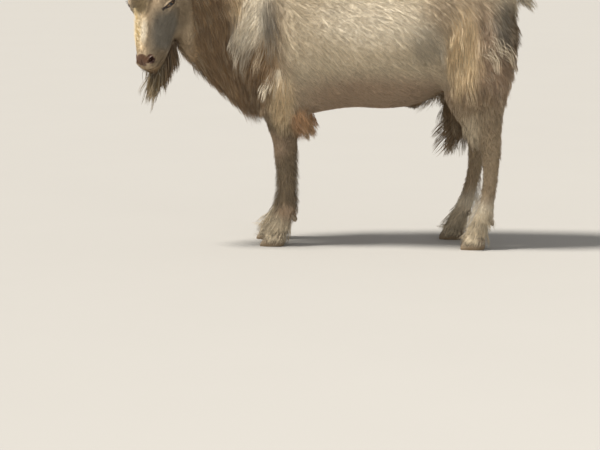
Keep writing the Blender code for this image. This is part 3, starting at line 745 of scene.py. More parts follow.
class Look:
    """The coat's length, width, lift, wave, depth, colour and lie at given places on the goat."""

    def __init__(self, points, normals, weights):
        self.head = to_head(points)
        table = [COAT[region] for region in REGIONS]
        for k, name in enumerate(("depth", "length", "width", "lift", "wave")):
            setattr(self, name, weights @ np.array([row[k] for row in table]))
        self.colour = weights @ np.array([colour(row[5]) for row in table])
        self.lie = weights @ np.array([row[6] for row in table])
        ones = np.ones((len(points), 2))
        of_head = smooth(weights[:, [REGIONS.index("head")]] * 2 - 0.4)
        of_ear = weights[:, [REGIONS.index("ear")]]
        outer = np.clip(self.head[:, 2:] / 0.012, -1.0, 1.0)
        for run, own in (((-1.0, -0.15, 0.12), of_head), (EAR_RUN, of_ear)):
            run = np.concatenate([ones * run[:2], run[2] * outer], axis=1)
            self.lie = self.lie * (1 - own) + run @ HEAD_AXES * own

        beside = points.copy()
        beside[:, 1] = np.abs(points[:, 1])
        side = np.clip(points[:, 1:2] / 0.025, -1.0, 1.0)
        flip = np.hstack([ones[:, :1], side, ones[:, :1]])
        on_body = 1 - of_head[:, 0]
        for centre, radii, strength, changes in BODY_AREAS.values():
            self.change(within(beside, centre, radii) * strength * on_body, changes, flip)
        beside = folded(self.head)
        flip = np.concatenate([ones, outer], axis=1)
        on_head = smooth(of_head[:, 0] * 1.5) * (1 - of_ear[:, 0])
        for centre, radii, strength, changes in HEAD_AREAS.values():
            place = self.head if centre[2] < 0 else beside
            share = within(place, centre, radii) * strength * on_head
            self.change(share, changes, flip, HEAD_AXES)

        self.bare = np.zeros(len(points))
        ragged = 0.0030 * np.stack([swirled(points, 210.0, k) for k in (0.6, 2.9, 5.3)], axis=1)
        for centre, radii, shade in BARE.values():
            share = smooth(within(beside + ragged, centre, radii) * 2.2)
            self.bare = np.maximum(self.bare, share)
            self.colour += share[:, None] * (colour(shade) - self.colour)
        self.lie = unit(self.lie - normals * (self.lie * normals).sum(axis=1, keepdims=True))
        self.length *= settings("coat").length
        self.width *= settings("coat").width

    def change(self, share, changes, flip, axes=None):
        """Blend one area's own values in by its share at each place."""
        for name, value in changes.items():
            if name == "colour":
                self.colour += share[:, None] * (colour(value) - self.colour)
            elif name == "lie":
                lie = np.array(value) * flip
                lie = lie if axes is None else lie @ axes
                self.lie += share[:, None] * (unit(lie) - self.lie)
            else:
                old = getattr(self, name)
                setattr(self, name, old + share * (value - old))


def node_tree(nodes):
    """A search tree of the CAD nodes' faces, and the number of the node that each face is from."""
    points, triangles, owners = [], [], []
    for k, node in enumerate(nodes):
        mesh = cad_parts[node].data
        faces = triangles_of(mesh) + len(points)
        points.extend(vectors(mesh.vertices, "co").tolist())
        triangles.extend(faces.tolist())
        owners.extend([k] * len(faces))
    return BVHTree.FromPolygons(points, triangles, all_triangles=True), np.array(owners)


def region_weights(points, edges, passes):
    """How much of each region every vertex belongs to, from the nearest flesh node."""
    tree, owners = node_tree(sum(FLESH.values(), ()))
    labels = np.array([k for k, region in enumerate(REGIONS) for _ in FLESH[region]])[owners]
    nearest = [tree.find_nearest(point)[2] for point in points.tolist()]
    return relaxed(np.eye(len(REGIONS))[labels[nearest]], edges, passes)


# The skin.


def eye_axes():
    """The eye's directions in the head's frame: to the outer corner, to the upper lid, outwards."""
    out = unit(np.array(GAZE))
    back = unit(np.array(OUTER_CORNER) - out * np.dot(OUTER_CORNER, out))
    up = np.array(UPPER_LID) - out * np.dot(UPPER_LID, out)
    return np.stack([back, unit(up - back * np.dot(up, back)), out])


def about_eye(head, side):
    """Places about an eyeball in its own axes, their distance, and where they fall on its front."""
    around = (mirrored(head, side) - EYE_PLACE) @ eye_axes().T
    away = np.maximum(np.linalg.norm(around, axis=1), 1e-6)
    x, y = (around[:, k] * settings("head").eye_radius / away for k in (0, 1))
    return around, away, x, y


def sculpt_lids(head, side):
    """Wrap the lids over one eyeball and open them along a slanting slit."""
    group = settings("head")
    around, away, x, y = about_eye(head, side)
    half = group.lid_length / 2
    bow = 1 - np.clip(x / half, -1, 1) ** 2
    y = y - LID_BOW * bow
    gap = np.where(np.abs(x) < half, np.abs(y) - group.lid_opening / 2 * bow**0.75, 0)
    gap = np.where(np.abs(x) < half, gap, np.hypot(np.abs(x) - half, y))
    target = group.eye_radius + LID_OUT
    for place, width, height in LID_FOLDS:
        target = target + height * np.exp(-(((gap - place) / width) ** 2))
    target += (group.eye_radius - SLIT_DEPTH - target) * smooth(-gap / 0.0009)
    share = smooth(1.5 - gap / 0.012) * smooth(around[:, 2] / away * 4 - 0.2)
    share = share * smooth((0.042 - away) * 100)
    shift = around * (share * (target / away - 1))[:, None]
    return head + mirrored(shift @ eye_axes(), side)


def mouth_line(head):
    """How high the line of the mouth runs at each place."""
    return MOUTH_LINE[0] - MOUTH_LINE[1] * (MOUTH_FRONT - head[:, 0])


def sculpt_face(head, normals):
    """Brows, nostrils, the mouth's line and the hollows of the face, in the head's frame."""
    near = folded(head)
    out = np.zeros(len(head))
    for centre, radii, height in FACE_FORMS.values():
        out += height * within(near, centre, radii)
    along = unit(np.array(NOSTRIL_RUN))
    away = near - NOSTRIL_PLACE
    long = away @ along
    wide = np.linalg.norm(away - long[:, None] * along, axis=1)
    ring = np.hypot(long / NOSTRIL_SIZE[0], wide / NOSTRIL_SIZE[1])
    out -= NOSTRIL_SIZE[2] * np.exp(-(ring**4))
    out += NOSTRIL_RIM * np.exp(-(((ring - 1.75) / 0.42) ** 2))
    lips = smooth((head[:, 0] - MOUTH_CORNER) / 0.014)
    off = head[:, 1] - mouth_line(head)
    out -= lips * MOUTH_DEPTH * np.exp(-((off / 0.0013) ** 2))
    out += lips * LIP_HEIGHT * np.exp(-(((np.abs(off) - 0.0048) / 0.0026) ** 2))
    cleft = within(near, (0.172, 0.002, 0.0), (0.022, 0.022, 0.006))
    out -= CLEFT_DEPTH * cleft * np.exp(-((head[:, 2] / 0.0014) ** 2))
    return head + normals * out[:, None]


def sculpt_ear(head, side, share):
    """Hollow one ear's front and turn its rims forwards."""
    run = unit(np.array(EAR_RUN))
    breadth = unit(np.cross(np.cross((-1.0, -0.10, 0.0), run), run))
    front = np.cross(run, breadth)
    front *= np.sign(front[1])
    away = mirrored(head, side) - EAR_PLACE
    along, over, thick = away @ run / EAR_LENGTH, away @ breadth, away @ front
    half = 0.006 + 0.024 * np.sqrt(np.clip(1 - ((along - 0.45) / 0.60) ** 2, 0, 1))
    edge = np.clip(over / half, -1, 1) ** 2
    inside = smooth(along / 0.25) * smooth((1.0 - along) / 0.2) * share
    inside = inside * (mirrored(head, side)[:, 2] > 0)
    shift = EAR_RIM * edge - EAR_HOLLOW * (1 - edge) * smooth(0.5 + thick / 0.005)
    return head + mirrored(np.outer(shift * inside, front), side), inside * (1 - edge) * (thick > 0)


def refine(bm, mask, passes):
    """Split the edges between masked vertices once, and smooth what was split."""
    inside = {vertex for vertex, chosen in zip(bm.verts, mask) if chosen}
    edges = [edge for edge in bm.edges if inside.issuperset(edge.verts)]
    made = bmesh.ops.subdivide_edges(bm, edges=edges, cuts=1, use_grid_fill=True)
    inside.update(item for item in made["geom_split"] if isinstance(item, bmesh.types.BMVert))
    split = [vertex for vertex in bm.verts if vertex in inside]
    for _ in range(passes):
        bmesh.ops.smooth_vert(
            bm, verts=split, factor=0.5, use_axis_x=True, use_axis_y=True, use_axis_z=True
        )
    bm.verts.index_update()


def bm_points(bm):
    return np.array([vertex.co[:] for vertex in bm.verts])


def flesh_skin():
    """The flesh nodes skinned as one, and drawn in by the depth of the coat."""
    bm = bmesh.new()
    for nodes in (*FLESH.values(), ("eye_left", "eye_right")):
        for node in nodes:
            part = merged(node)
            for vertex in part.verts:
                vertex.co += vertex.normal * SEAM_OVERLAP
            mesh = as_mesh("part", part)
            bm.from_mesh(mesh)
            bpy.data.meshes.remove(mesh)
    mesh = remeshed(as_mesh("flesh", bm), LIMB_VOXEL, 6)
    points = vectors(mesh.vertices, "co")
    normals = vectors(mesh.vertex_normals, "vector")
    weights = region_weights(points, indices(mesh.edges, 2), 14)
    depth = relaxed(Look(points, normals, weights).depth[:, None], indices(mesh.edges, 2), 6)
    move(mesh, points - normals * depth)
    return remeshed(mesh, SKIN_VOXEL, 3)


def unwrap(mesh):
    """An unwrap of the skin's own shape, before the head is made finer."""
    bpy.ops.object.select_all(action="DESELECT")
    obj = placed("unwrapping", mesh)
    mesh.uv_layers.new(name="OFBake")
    bpy.context.view_layer.objects.active = obj
    obj.select_set(True)
    bpy.ops.object.mode_set(mode="EDIT")
    bpy.ops.mesh.select_all(action="SELECT")
    bpy.ops.uv.smart_project(angle_limit=math.radians(66), island_margin=0.002)
    bpy.ops.object.mode_set(mode="OBJECT")
    bpy.data.objects.remove(obj)


def from_eye(head, out):
    """How far places are from the nearer eye, taken as so much further from the midline."""
    return np.linalg.norm(folded(head) - (0.0, EYE_OUT, EYE_SIDE + out), axis=1)


def refined_head(mesh):
    """The skin with a finer mesh on the head, finest at the eyes, nostrils and mouth."""
    bm = bmesh.new()
    bm.from_mesh(mesh)
    head = to_head(bm_points(bm))
    wide = np.abs(head[:, 2])
    ears = (head[:, 0] < -0.02) & (head[:, 1] > -0.13) & (wide > 0.055) & (wide < 0.19)
    face = (head[:, 0] > -0.11) & (head[:, 1] > -0.12) & (wide < 0.085)
    refine(bm, face | ears, 3)
    head = to_head(bm_points(bm))
    muzzle = (head[:, 0] > 0.105) & (head[:, 1] > -0.09) & (np.abs(head[:, 2]) < 0.06)
    refine(bm, (from_eye(head, 0.010) < 0.046) | muzzle, 3)
    head = to_head(bm_points(bm))
    nose = np.linalg.norm(folded(head) - NOSTRIL_PLACE, axis=1)
    mouth = (np.abs(head[:, 1] - mouth_line(head)) < 0.009) & (head[:, 0] > 0.122)
    refine(bm, (from_eye(head, 0.012) < 0.027) | (nose < 0.016) | mouth, 2)
    return as_mesh("skin", bm)


# What the skin leaves for the coat: its surface, where it is furred, its look and the claws' tree.
SKIN = {}


def make_skin():
    """The skin with its lids, nostrils, mouth and ears, and the fields that colour it."""
    mesh = flesh_skin()
    unwrap(mesh)
    mesh = refined_head(mesh)
    mesh.update()
    points = vectors(mesh.vertices, "co")
    normals = vectors(mesh.vertex_normals, "vector") @ HEAD_AXES.T
    weights = region_weights(points, indices(mesh.edges, 2), 10)
    head = to_head(points)
    on_head = (weights[:, 0] > 0.05) & (head[:, 0] > -0.12)
    head[on_head] = sculpt_face(head[on_head], normals[on_head])
    ear_share = smooth(weights[:, REGIONS.index("ear")] * 1.5)
    hollow = np.zeros(len(points))
    for side in (1, -1):
        head, inside = sculpt_ear(head, side, ear_share)
        hollow = np.maximum(hollow, inside)
    for side in (1, -1):
        head[on_head] = sculpt_lids(head[on_head], side)
    points = from_head(head)
    move(mesh, points)
    normals = vectors(mesh.vertex_normals, "vector")
    look = Look(points, normals, weights)
    tint = look.colour + hollow[:, None] * 0.8 * (colour("pink") - look.colour)
    bare = look.bare
    # Dark rims of the lids, with painted shade past the corners.
    for side in (1, -1):
        rim = lid_rim(look.head, side)
        tint += rim[:, None] * (colour("lid") - tint)
        bare = np.maximum(bare, rim)
    store(mesh, "tint", tint, "FLOAT_COLOR")
    store(mesh, "bare", bare)
    store(mesh, "lie", look.lie, "FLOAT_VECTOR")
    store(mesh, "hair_length", look.length)
    store(mesh, "hair_width", look.width)
    furred = (1 - smooth(bare * 2)) * (1 - 0.6 * hollow)
    store(mesh, "furred", furred)
    claws = [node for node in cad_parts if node.startswith("hoof_")]
    SKIN.update(surface=Surface(mesh, weights), furred=furred, look=look, claws=node_tree(claws)[0])
    return show("skin", mesh, sum(FLESH.values(), ()), skin_material())


def lid_rim(head, side):
    """How much of the dark bare rim of the lids there is at each place."""
    around, away, x, y = about_eye(head, side)
    # The dark rim runs on 3 mm past each corner of the opening. That part is painted shade in the
    # creases there.
    half = settings("head").lid_length / 2 + 0.003
    bow = 1 - np.clip(x / half, -1, 1) ** 2
    gap = np.abs(y - LID_BOW * bow) - settings("head").lid_opening / 2 * bow**0.75 - LID_RIM
    near = (np.abs(x) < half) & (around[:, 2] > 0) & (away < 0.03)
    return smooth(1 - gap / 0.0016) * near


# Materials.


def add(tree, kind, inputs=None, **options):
    """A node with its options set and its inputs linked or set."""
    made = tree.nodes.new(kind)
    for key, value in options.items():
        setattr(made, key, value)
    for key, value in (inputs or {}).items():
        if isinstance(value, bpy.types.NodeSocket):
            tree.links.new(value, made.inputs[key])
        else:
            value = tuple(value) if isinstance(value, np.ndarray) else value
            made.inputs[key].default_value = value
    return made


def shader_tree(name, **inputs):
    """A new Principled material: its tree and its shader, with uniform inputs set."""
    made = bpy.data.materials.new(name)
    made.use_nodes = True
    shader = made.node_tree.nodes["Principled BSDF"]
    for key, value in inputs.items():
        shader.inputs[key.replace("_", " ")].default_value = value
    return made, made.node_tree, shader


def attribute(tree, name, output):
    return add(tree, "ShaderNodeAttribute", attribute_name=name).outputs[output]


def ranged(tree, value, low, high, start=0.0, end=1.0):
    """A value from start to end taken to the range from low to high."""
    inputs = {"Value": value, "From Min": start, "From Max": end, "To Min": low, "To Max": high}
    return add(tree, "ShaderNodeMapRange", inputs).outputs["Result"]


def maths(tree, operation, *values):
    return add(tree, "ShaderNodeMath", dict(enumerate(values)), operation=operation).outputs[0]


def times(tree, first, *others):
    for other in others:
        first = maths(tree, "MULTIPLY", first, other)
    return first


def mixed(tree, share, one, other):
    return add(tree, "ShaderNodeMix", {0: share, 2: one, 3: other}).outputs[0]


def scaled(tree, vector, value):
    inputs = {"Vector": vector, "Scale": value}
    return add(tree, "ShaderNodeVectorMath", inputs, operation="SCALE").outputs[0]


def object_place(tree):
    return add(tree, "ShaderNodeTexCoord").outputs["Object"]


def noise_of(tree, scale, detail=3.0, stretch=(1.0, 1.0, 1.0)):
    """Noise on object coordinates."""
    inputs = {"Vector": object_place(tree), "Scale": stretch}
    turned = add(tree, "ShaderNodeMapping", inputs).outputs[0]
    made = add(tree, "ShaderNodeTexNoise", {"Vector": turned, "Scale": scale, "Detail": detail})
    return made.outputs["Fac"]


def finished(tree, shader, shade, height=None, strength=0.0, distance=0.0, **others):
    """Link a colour, other inputs and a bump to the shader."""
    for key, value in {"Base Color": shade, **others}.items():
        tree.links.new(value, shader.inputs[key])
    if height:
        inputs = {"Height": height, "Strength": strength, "Distance": distance}
        bump = add(tree, "ShaderNodeBump", inputs)
        tree.links.new(bump.outputs[0], shader.inputs["Normal"])


def skin_material():
    """Short lying hair as fine streaks and bump, smooth and moist where the skin is bare."""
    made, tree, shader = shader_tree("goat_skin", Specular_IOR_Level=0.35)
    bare = attribute(tree, "bare", "Fac")
    streaks = noise_of(tree, 620.0, 4.0, (1.0, 1.0, 0.16))
    patches = ranged(tree, noise_of(tree, 45.0), 0.84, 1.16)
    mottle = ranged(tree, noise_of(tree, 160.0, 4.0), 0.80, 1.20)
    blotches = ranged(tree, noise_of(tree, 230.0, 4.0), 0.35, 1.75)
    blotches = mixed(tree, bare, 1.0, blotches)
    shade = times(tree, ranged(tree, streaks, 0.72, 1.22), patches, mottle, blotches)
    shade = scaled(tree, attribute(tree, "tint", "Color"), shade)
    height = mixed(tree, bare, streaks, noise_of(tree, 620.0))
    rough = ranged(tree, bare, 0.78, 0.36)
    finished(tree, shader, shade, height, 0.55, 0.0012, Roughness=rough)
    return made


def hair_material(name="goat_hair"):
    """Hair that follows the tint of its root, a little different from tuft to tuft."""
    made = bpy.data.materials.get(name)
    if made:
        return made
    rough, gleam, sheen, tufts, tips, strands, bump = HAIRS[name]
    made, tree, shader = shader_tree(
        name, Roughness=rough, Specular_IOR_Level=gleam, Sheen_Weight=sheen
    )
    tufts = ranged(tree, attribute(tree, "lock", "Fac"), *tufts)
    # Painted shade: each tuft is darker at its root, where the hair around it would shade it, and
    # paler at its tip.
    tips = ranged(tree, attribute(tree, "along", "Fac"), *tips)
    shade = times(tree, tufts, tips, ranged(tree, noise_of(tree, 420.0), *strands))
    shade = scaled(tree, attribute(tree, "tint", "Color"), shade)
    finished(tree, shader, shade, noise_of(tree, 900.0, 2.0), *bump)
    return made


def lash_material():
    """Dark hair, a little different from place to place."""
    made, tree, shader = shader_tree("goat_lash", Roughness=0.45)
    shade = ranged(tree, noise_of(tree, 300.0), 0.6, 1.3)
    finished(tree, shader, scaled(tree, colour("dark"), shade))
    return made


def horn_material():
    """Horn: streaks along the growth, pale and dark bands, worn and scuffed."""
    made, tree, shader = shader_tree("goat_horn", Roughness=0.45)
    streaks = noise_of(tree, 130.0, 5.0, (1.0, 1.0, 0.35))
    rings = ranged(tree, attribute(tree, "ring", "Fac"), 0.70, 1.10)
    darker = ranged(tree, attribute(tree, "share", "Fac"), 1.05, 0.62)
    shade = times(tree, ranged(tree, streaks, 0.62, 1.32), rings, darker)
    rough = ranged(tree, streaks, 0.38, 0.66)
    shade = scaled(tree, colour("horn"), shade)
    finished(tree, shader, shade, noise_of(tree, 420.0, 4.0), 0.5, 0.0008, Roughness=rough)
    return made


def hoof_material():
    """Hoof horn: growth rings, streaks down the wall and dried earth near the ground."""
    made, tree, shader = shader_tree("goat_hoof", Roughness=0.6)
    place = object_place(tree)
    height = add(tree, "ShaderNodeSeparateXYZ", {0: place}).outputs["Z"]
    inputs = {"Vector": place, "Scale": 70.0, "Distortion": 2.5, "Detail": 2.0, "Detail Scale": 3.0}
    rings = add(tree, "ShaderNodeTexWave", inputs, bands_direction="Z").outputs["Fac"]
    streaks = noise_of(tree, 260.0, 4.0, (1.0, 1.0, 0.25))
    shade = times(tree, ranged(tree, rings, 0.82, 1.10), ranged(tree, streaks, 0.65, 1.30))
    wall = scaled(tree, colour("hoof"), shade)
    low = ranged(tree, height, 0.75, 0.0, end=EARTH_HEIGHT)
    earth = times(tree, low, ranged(tree, noise_of(tree, 90.0, 5.0), 0.1, 1.7))
    inputs = {0: earth, 6: wall, 7: (*colour("umber"), 1.0)}
    shade = add(tree, "ShaderNodeMix", inputs, data_type="RGBA").outputs[2]
    finished(tree, shader, shade, times(tree, rings, streaks), 0.5, 0.0010)
    return made


def eye_material():
    """An amber iris round a level slot of a pupil, dark towards the rim, under a wet surface."""
    made, tree, shader = shader_tree(
        "goat_eye", Roughness=0.06, Coat_Weight=1.0, Coat_Roughness=0.03
    )
    place = add(tree, "ShaderNodeSeparateXYZ", {0: attribute(tree, "gaze", "Vector")}).outputs

    def away(across):
        flat = add(tree, "ShaderNodeCombineXYZ", {"X": across, "Y": place["Y"]}).outputs[0]
        return add(tree, "ShaderNodeVectorMath", {0: flat}, operation="LENGTH").outputs["Value"]

    pupil = ranged(tree, away(times(tree, place["X"], PUPIL_SQUASH)), 0.0, 1.0, 0.17, 0.22)
    edge = ranged(tree, away(place["X"]), 1.0, 0.12, 0.62, 0.78)
    shade = times(tree, pupil, edge, ranged(tree, noise_of(tree, 600.0), 0.6, 1.4))
    finished(tree, shader, scaled(tree, colour("iris"), shade))
    return made


# The coat.


def coat_name(region, point, head):
    """Which piece of the coat a place belongs to."""
    side = "left" if point[1] < 0 else "right"
    if region == "trunk":
        part = "shoulder" if point[0] < FLANK_FROM else "flank" if point[0] < RUMP_FROM else "rump"
        return f"coat_{part}_{side}"
    if region in ("foreleg", "hindleg", "neck"):
        return f"coat_{region}_{side}"
    if region == "head":
        return "coat_forelock" if head[1] > -0.03 else "coat_jaw"
    return f"coat_{region}"


def tuft_mesh(name, paths, width, facing, roll, rng):
    """Tapering three-sided tufts along the paths, closed at the root and pointed at the tip."""
    count, rings = paths.shape[0], paths.shape[1] - 1
    run = unit(np.gradient(paths, axis=1))
    lean = unit(facing[:, None, :] + roll * rng.normal(size=(count, 1, 3)))
    across = unit(np.cross(lean, run))
    rise = np.cross(run, across)
    share = np.arange(rings) / rings
    girth = (0.55 + 1.8 * share) * (1 - share) ** 0.75
    girth = width[:, None, None] * girth[None, :, None] / 1.35
    across, rise = across[:, :rings] * girth * 0.5, rise[:, :rings] * girth * 0.42
    body = paths[:, :rings]
    points = np.stack([body + across, body + rise, body - across], axis=2)
    points = points.reshape(count, rings * 3, 3)
    points = np.concatenate([points, paths[:, rings:]], axis=1)
    faces = [(0, 1, 2)]
    for k in range(rings - 1):
        for a in range(3):
            b = (a + 1) % 3
            low, high = 3 * k, 3 * k + 3
            faces += [(low + a, high + a, high + b), (low + a, high + b, low + b)]
    top = 3 * (rings - 1)
    faces += [(top + a, rings * 3, top + (a + 1) % 3) for a in range(3)]
    per = rings * 3 + 1
    triangles = np.array(faces)[None] + (np.arange(count) * per)[:, None, None]
    mesh = triangle_mesh(name, points.reshape(-1, 3), triangles.reshape(-1, 3))
    along = np.concatenate([np.repeat(share, 3), [1.0]])
    return mesh, np.tile(along, count), per


def finish_tufts(mesh, along, per, roots, faces, tint, rng):
    """Give each tuft its tint, its own number and its patch on the skin's unwrap."""
    count = len(roots)
    store(mesh, "tint", np.repeat(tint, per, axis=0), "FLOAT_COLOR")
    store(mesh, "lock", np.repeat(rng.random(count), per))
    store(mesh, "along", along)
    around = np.tile(np.arange(per) % 3 - 1.0, count)
    patch = np.repeat(SKIN["surface"].unwrapped(roots, faces), per, axis=0)
    patch += np.stack([around * PATCH / 2, (along - 0.5) * PATCH], axis=1)
    corners = indices(mesh.loops, 1, "vertex_index")[:, 0]
    layer = mesh.uv_layers.get("OFBake") or mesh.uv_layers.new(name="OFBake")
    layer.uv.foreach_set("vector", np.clip(patch, 0, 1)[corners].astype(np.float32).ravel())


def swirled(points, scale, offset):
    """Slowly changing noise from -1 to 1 at each point."""
    shift = Vector((offset, 0, 0))
    return np.array([noise.noise(Vector(point) * scale + shift) for point in points])


def grown(roots, normals, look, segments, droop, rng):
    """The paths of hairs from their roots, gathered into locks, and the lock each belongs to."""
    count = len(roots)
    leaders = rng.choice(count, max(count // LOCK_HAIRS, 1), replace=False)
    tree = KDTree(len(leaders))
    for k, point in enumerate(roots[leaders]):
        tree.insert(point, k)
    tree.balance()
    lock = np.array([tree.find(point)[1] for point in roots])
    kinds = len(leaders)

    length = look.length * rng.uniform(0.75, 1.15, kinds)[lock] * rng.uniform(0.85, 1.08, count)
    loose = 0.30 + 0.70 * np.minimum(look.wave, 1.0)
    turn = swirled(roots, 9.0, 3.7) + 0.45 * rng.normal(size=kinds)[lock]
    turn = settings("coat").swirl * loose * turn + rng.normal(0, 0.05, count)
    side = np.cross(normals, look.lie)
    lie = look.lie * np.cos(turn)[:, None] + side * np.sin(turn)[:, None]
    lift = np.radians(look.lift) * (1 + loose * rng.uniform(-0.5, 0.5, kinds)[lock])
    lift = lift * rng.uniform(0.8, 1.2, count)
    heading = lie * np.cos(lift)[:, None] + normals * np.sin(lift)[:, None]
    step = (length / segments)[:, None]
    path = [roots - normals * ROOT_DEPTH]
    for _ in range(segments):
        path.append(path[-1] + heading * step)
        heading = unit(heading + (np.array((0, 0, -1.0)) * droop - normals * 0.16) * step * BEND)
    path = np.stack(path, axis=1)

    share = np.arange(segments + 1) / segments
    own = leaders[lock]
    gather = np.clip(0.12 + 0.70 * look.wave, 0.1, 0.80) * rng.uniform(0.7, 1.1, count)
    pull = gather[:, None, None] * share[None, :, None] ** 1.3
    path = path + pull * (path[own] - path)
    phase = (rng.random(kinds) * math.tau)[lock] + rng.normal(0, 0.35, count)
    curve = share[None, :] * (length / WAVE_LENGTH)[:, None] * math.tau * 0.5 + phase[:, None]
    swing = WAVE_SWING * look.wave[:, None] * share[None, :]
    path = path + side[:, None] * (np.sin(curve) * swing)[:, :, None]
    path = path + normals[:, None] * (np.cos(curve) * swing * 0.6)[:, :, None]
    return laid(path, share, look.depth, rng), lock


def lock_tints(look, lock, rng):
    """Hair colours that change from lock to lock: some paler, some darker."""
    shade = rng.random(lock.max() + 1)[lock]
    mixed = np.clip(0.10 + 0.55 * look.wave, 0.0, 0.65)[:, None]
    pale = smooth((shade - 0.55) / 0.35)[:, None] * mixed
    deep = smooth((0.40 - shade) / 0.35)[:, None] * mixed
    bright = np.minimum(look.colour.mean(axis=1) * 3.2, 1)[:, None]
    bright = look.colour * 0.35 + colour("cream") * bright * 0.85
    return (look.colour + pale * (bright - look.colour)) * (1 - 0.55 * deep)


def laid(path, share, depth, rng):
    """Keep each path just clear of the skin, and not far over the coat's depth."""
    count = len(path)
    for k in range(1, path.shape[1]):
        near, _, out = SKIN["surface"].nearest(path[:, k])
        over = ((path[:, k] - near) * out).sum(axis=1)
        floor = depth * share[k] * rng.uniform(0.10, 0.55, count) + SKIN_CLEAR
        close = np.linalg.norm(path[:, k] - near, axis=1) < 0.03
        lift = np.where(close, np.maximum(floor - over, 0), 0)
        path[:, k] += out * lift[:, None]
        for row in np.nonzero(path[:, k, 2] < HOOF_TOP)[0]:
            near, out, _, _ = SKIN["claws"].find_nearest(path[row, k].tolist())
            over = (path[row, k] - near) @ out
            if over < HOOF_CLEAR:
                path[row, k] += np.array(out) * (HOOF_CLEAR - over)
    path[:, 1:, 2] = np.maximum(path[:, 1:, 2], GROUND_CLEAR)
    return path


def coat_piece(name, faces, shares, rng, nodes=(), droop=0.30, roll=0.25, change=None):
    """One piece of the long coat from its roots."""
    surface = SKIN["surface"]
    roots = surface.mixed(surface.points, faces, shares)
    normals = unit(surface.mixed(surface.normals, faces, shares))
    look = Look(roots, normals, surface.mixed(surface.weights, faces, shares))
    if change:
        change(look, roots)
    segments = round(float(np.mean(look.length)) / SEGMENT * max(droop, 1.0))
    segments = int(np.clip(segments, 2, 10))
    path, lock = grown(roots, normals, look, segments, droop, rng)
    width = look.width * rng.uniform(0.7, 1.3, len(roots))
    mesh, along, per = tuft_mesh(name, path, width, normals, roll, rng)
    finish_tufts(mesh, along, per, roots, faces, lock_tints(look, lock, rng), rng)
    show(name, mesh, nodes, hair_material())


def thinned():
    return 1.0


def long_share(look):
    """1 where the hair is grown in locks, 0 where it is scattered."""
    return smooth((look.length - LONG_HAIR) / LONG_BLEND + 0.5)


def make_long_coat():
    """Every place with long hair, split into pieces."""
    surface, look = SKIN["surface"], SKIN["look"]
    rng = np.random.default_rng(settings("coat").seed)
    cover = settings("coat").cover * thinned()
    dense = cover / (look.width * look.length) * long_share(look) * SKIN["furred"]
    faces, shares = surface.roots(dense, rng)
    roots = surface.mixed(surface.points, faces, shares)
    heads = to_head(roots)
    regions = surface.mixed(surface.weights, faces, shares).argmax(axis=1)
    names = np.array([coat_name(REGIONS[r], p, h) for r, p, h in zip(regions, roots, heads)])
    for name in sorted(set(names)):
        own = names == name
        if own.sum() > 30:
            coat_piece(name, faces[own], shares[own], rng)


def make_locks():
    """Locks that hang over the rest of the coat, and over the tops of the claws."""
    surface = SKIN["surface"]
    rng = np.random.default_rng(settings("coat").seed + 4)
    beside = surface.points.copy()
    beside[:, 1] = np.abs(beside[:, 1])
    for name, (droop, (centre, radii, density, changes)) in LOCKS.items():
        density = within(beside, centre, radii) * density * thinned()
        faces, shares = surface.roots(density, rng)

        def hang(look, roots, changes=changes):
            flip = np.ones((len(roots), 3))
            flip[:, 1] = np.sign(roots[:, 1])
            look.change(np.ones(len(roots)), changes, flip)

        coat_piece(name, faces, shares, rng, droop=droop, change=hang)


def beard_look(look, roots):
    """Long hair that sweeps forwards from the chin and draws together in a point."""
    front = smooth((look.head[:, 0] - 0.130) / 0.035)
    behind = smooth((0.120 - look.head[:, 0]) / 0.05)
    look.length = BEARD_LENGTH + BEARD_FRONT_EXTRA * front
    for name, value in (("width", BEARD_WIDTH), ("wave", 0.8), ("lift", 12.0)):
        setattr(look, name, np.full(len(roots), value))
    lie = np.array((0.0, -0.03, -0.90)) + np.outer(front, BEARD_SWEEP)
    look.lie = unit(lie + np.outer(behind, BEARD_BACK))
    dark, pale = colour("tan") * 0.8, colour("ochre") * 1.4
    look.colour = dark + 0.8 * front[:, None] * (pale - dark)


def make_beard():
    """The beard, rooted on the chin and the jaw behind it."""
    rng = np.random.default_rng(settings("coat").seed + 1)
    density = within(SKIN["look"].head, *BEARD_AREA) * BEARD_ROOTS * thinned()
    faces, shares = SKIN["surface"].roots(density, rng)
    coat_piece("beard_locks", faces, shares, rng, ("beard",), roll=1.0, change=beard_look)


# Geometry Nodes.


def geometry_tree(name, sockets):
    """A new tree with named inputs: (name, socket type, default)."""
    tree = bpy.data.node_groups.new(name, "GeometryNodeTree")
    tree.is_modifier = True
    tree.interface.new_socket("Geometry", in_out="INPUT", socket_type="NodeSocketGeometry")
    tree.interface.new_socket("Geometry", in_out="OUTPUT", socket_type="NodeSocketGeometry")
    for label, kind, default in sockets:
        made = tree.interface.new_socket(label, in_out="INPUT", socket_type=kind)
        if default is not None:
            made.default_value = default
    start = tree.nodes.new("NodeGroupInput")
    end = tree.nodes.new("NodeGroupOutput")
    return tree, start.outputs, end.inputs["Geometry"]


def run_tree(mesh, tree, values):
    """The mesh that the tree makes of this one, with the inputs set by their identifiers."""
    obj = placed("growing", mesh)
    modifier = obj.modifiers.new("Grow", "NODES")
    modifier.node_group = tree
    for item in tree.interface.items_tree:
        if item.in_out == "INPUT" and item.name in values:
            modifier[item.identifier] = values[item.name]
    return evaluated(obj)


def first_of(made):
    """The first output of a node that is in use."""
    return next(output for output in made.outputs if output.enabled)


def ended(tree, geometry, material, end):
    """Make instances real, set the material and link the end."""
    real = add(tree, "GeometryNodeRealizeInstances", {"Geometry": geometry}).outputs[0]
    painted = add(tree, "GeometryNodeSetMaterial", {"Geometry": real, "Material": material})
    tree.links.new(painted.outputs[0], end)
    return tree


def named(tree, label, kind="FLOAT"):
    made = add(tree, "GeometryNodeInputNamedAttribute", {"Name": label}, data_type=kind)
    return first_of(made)


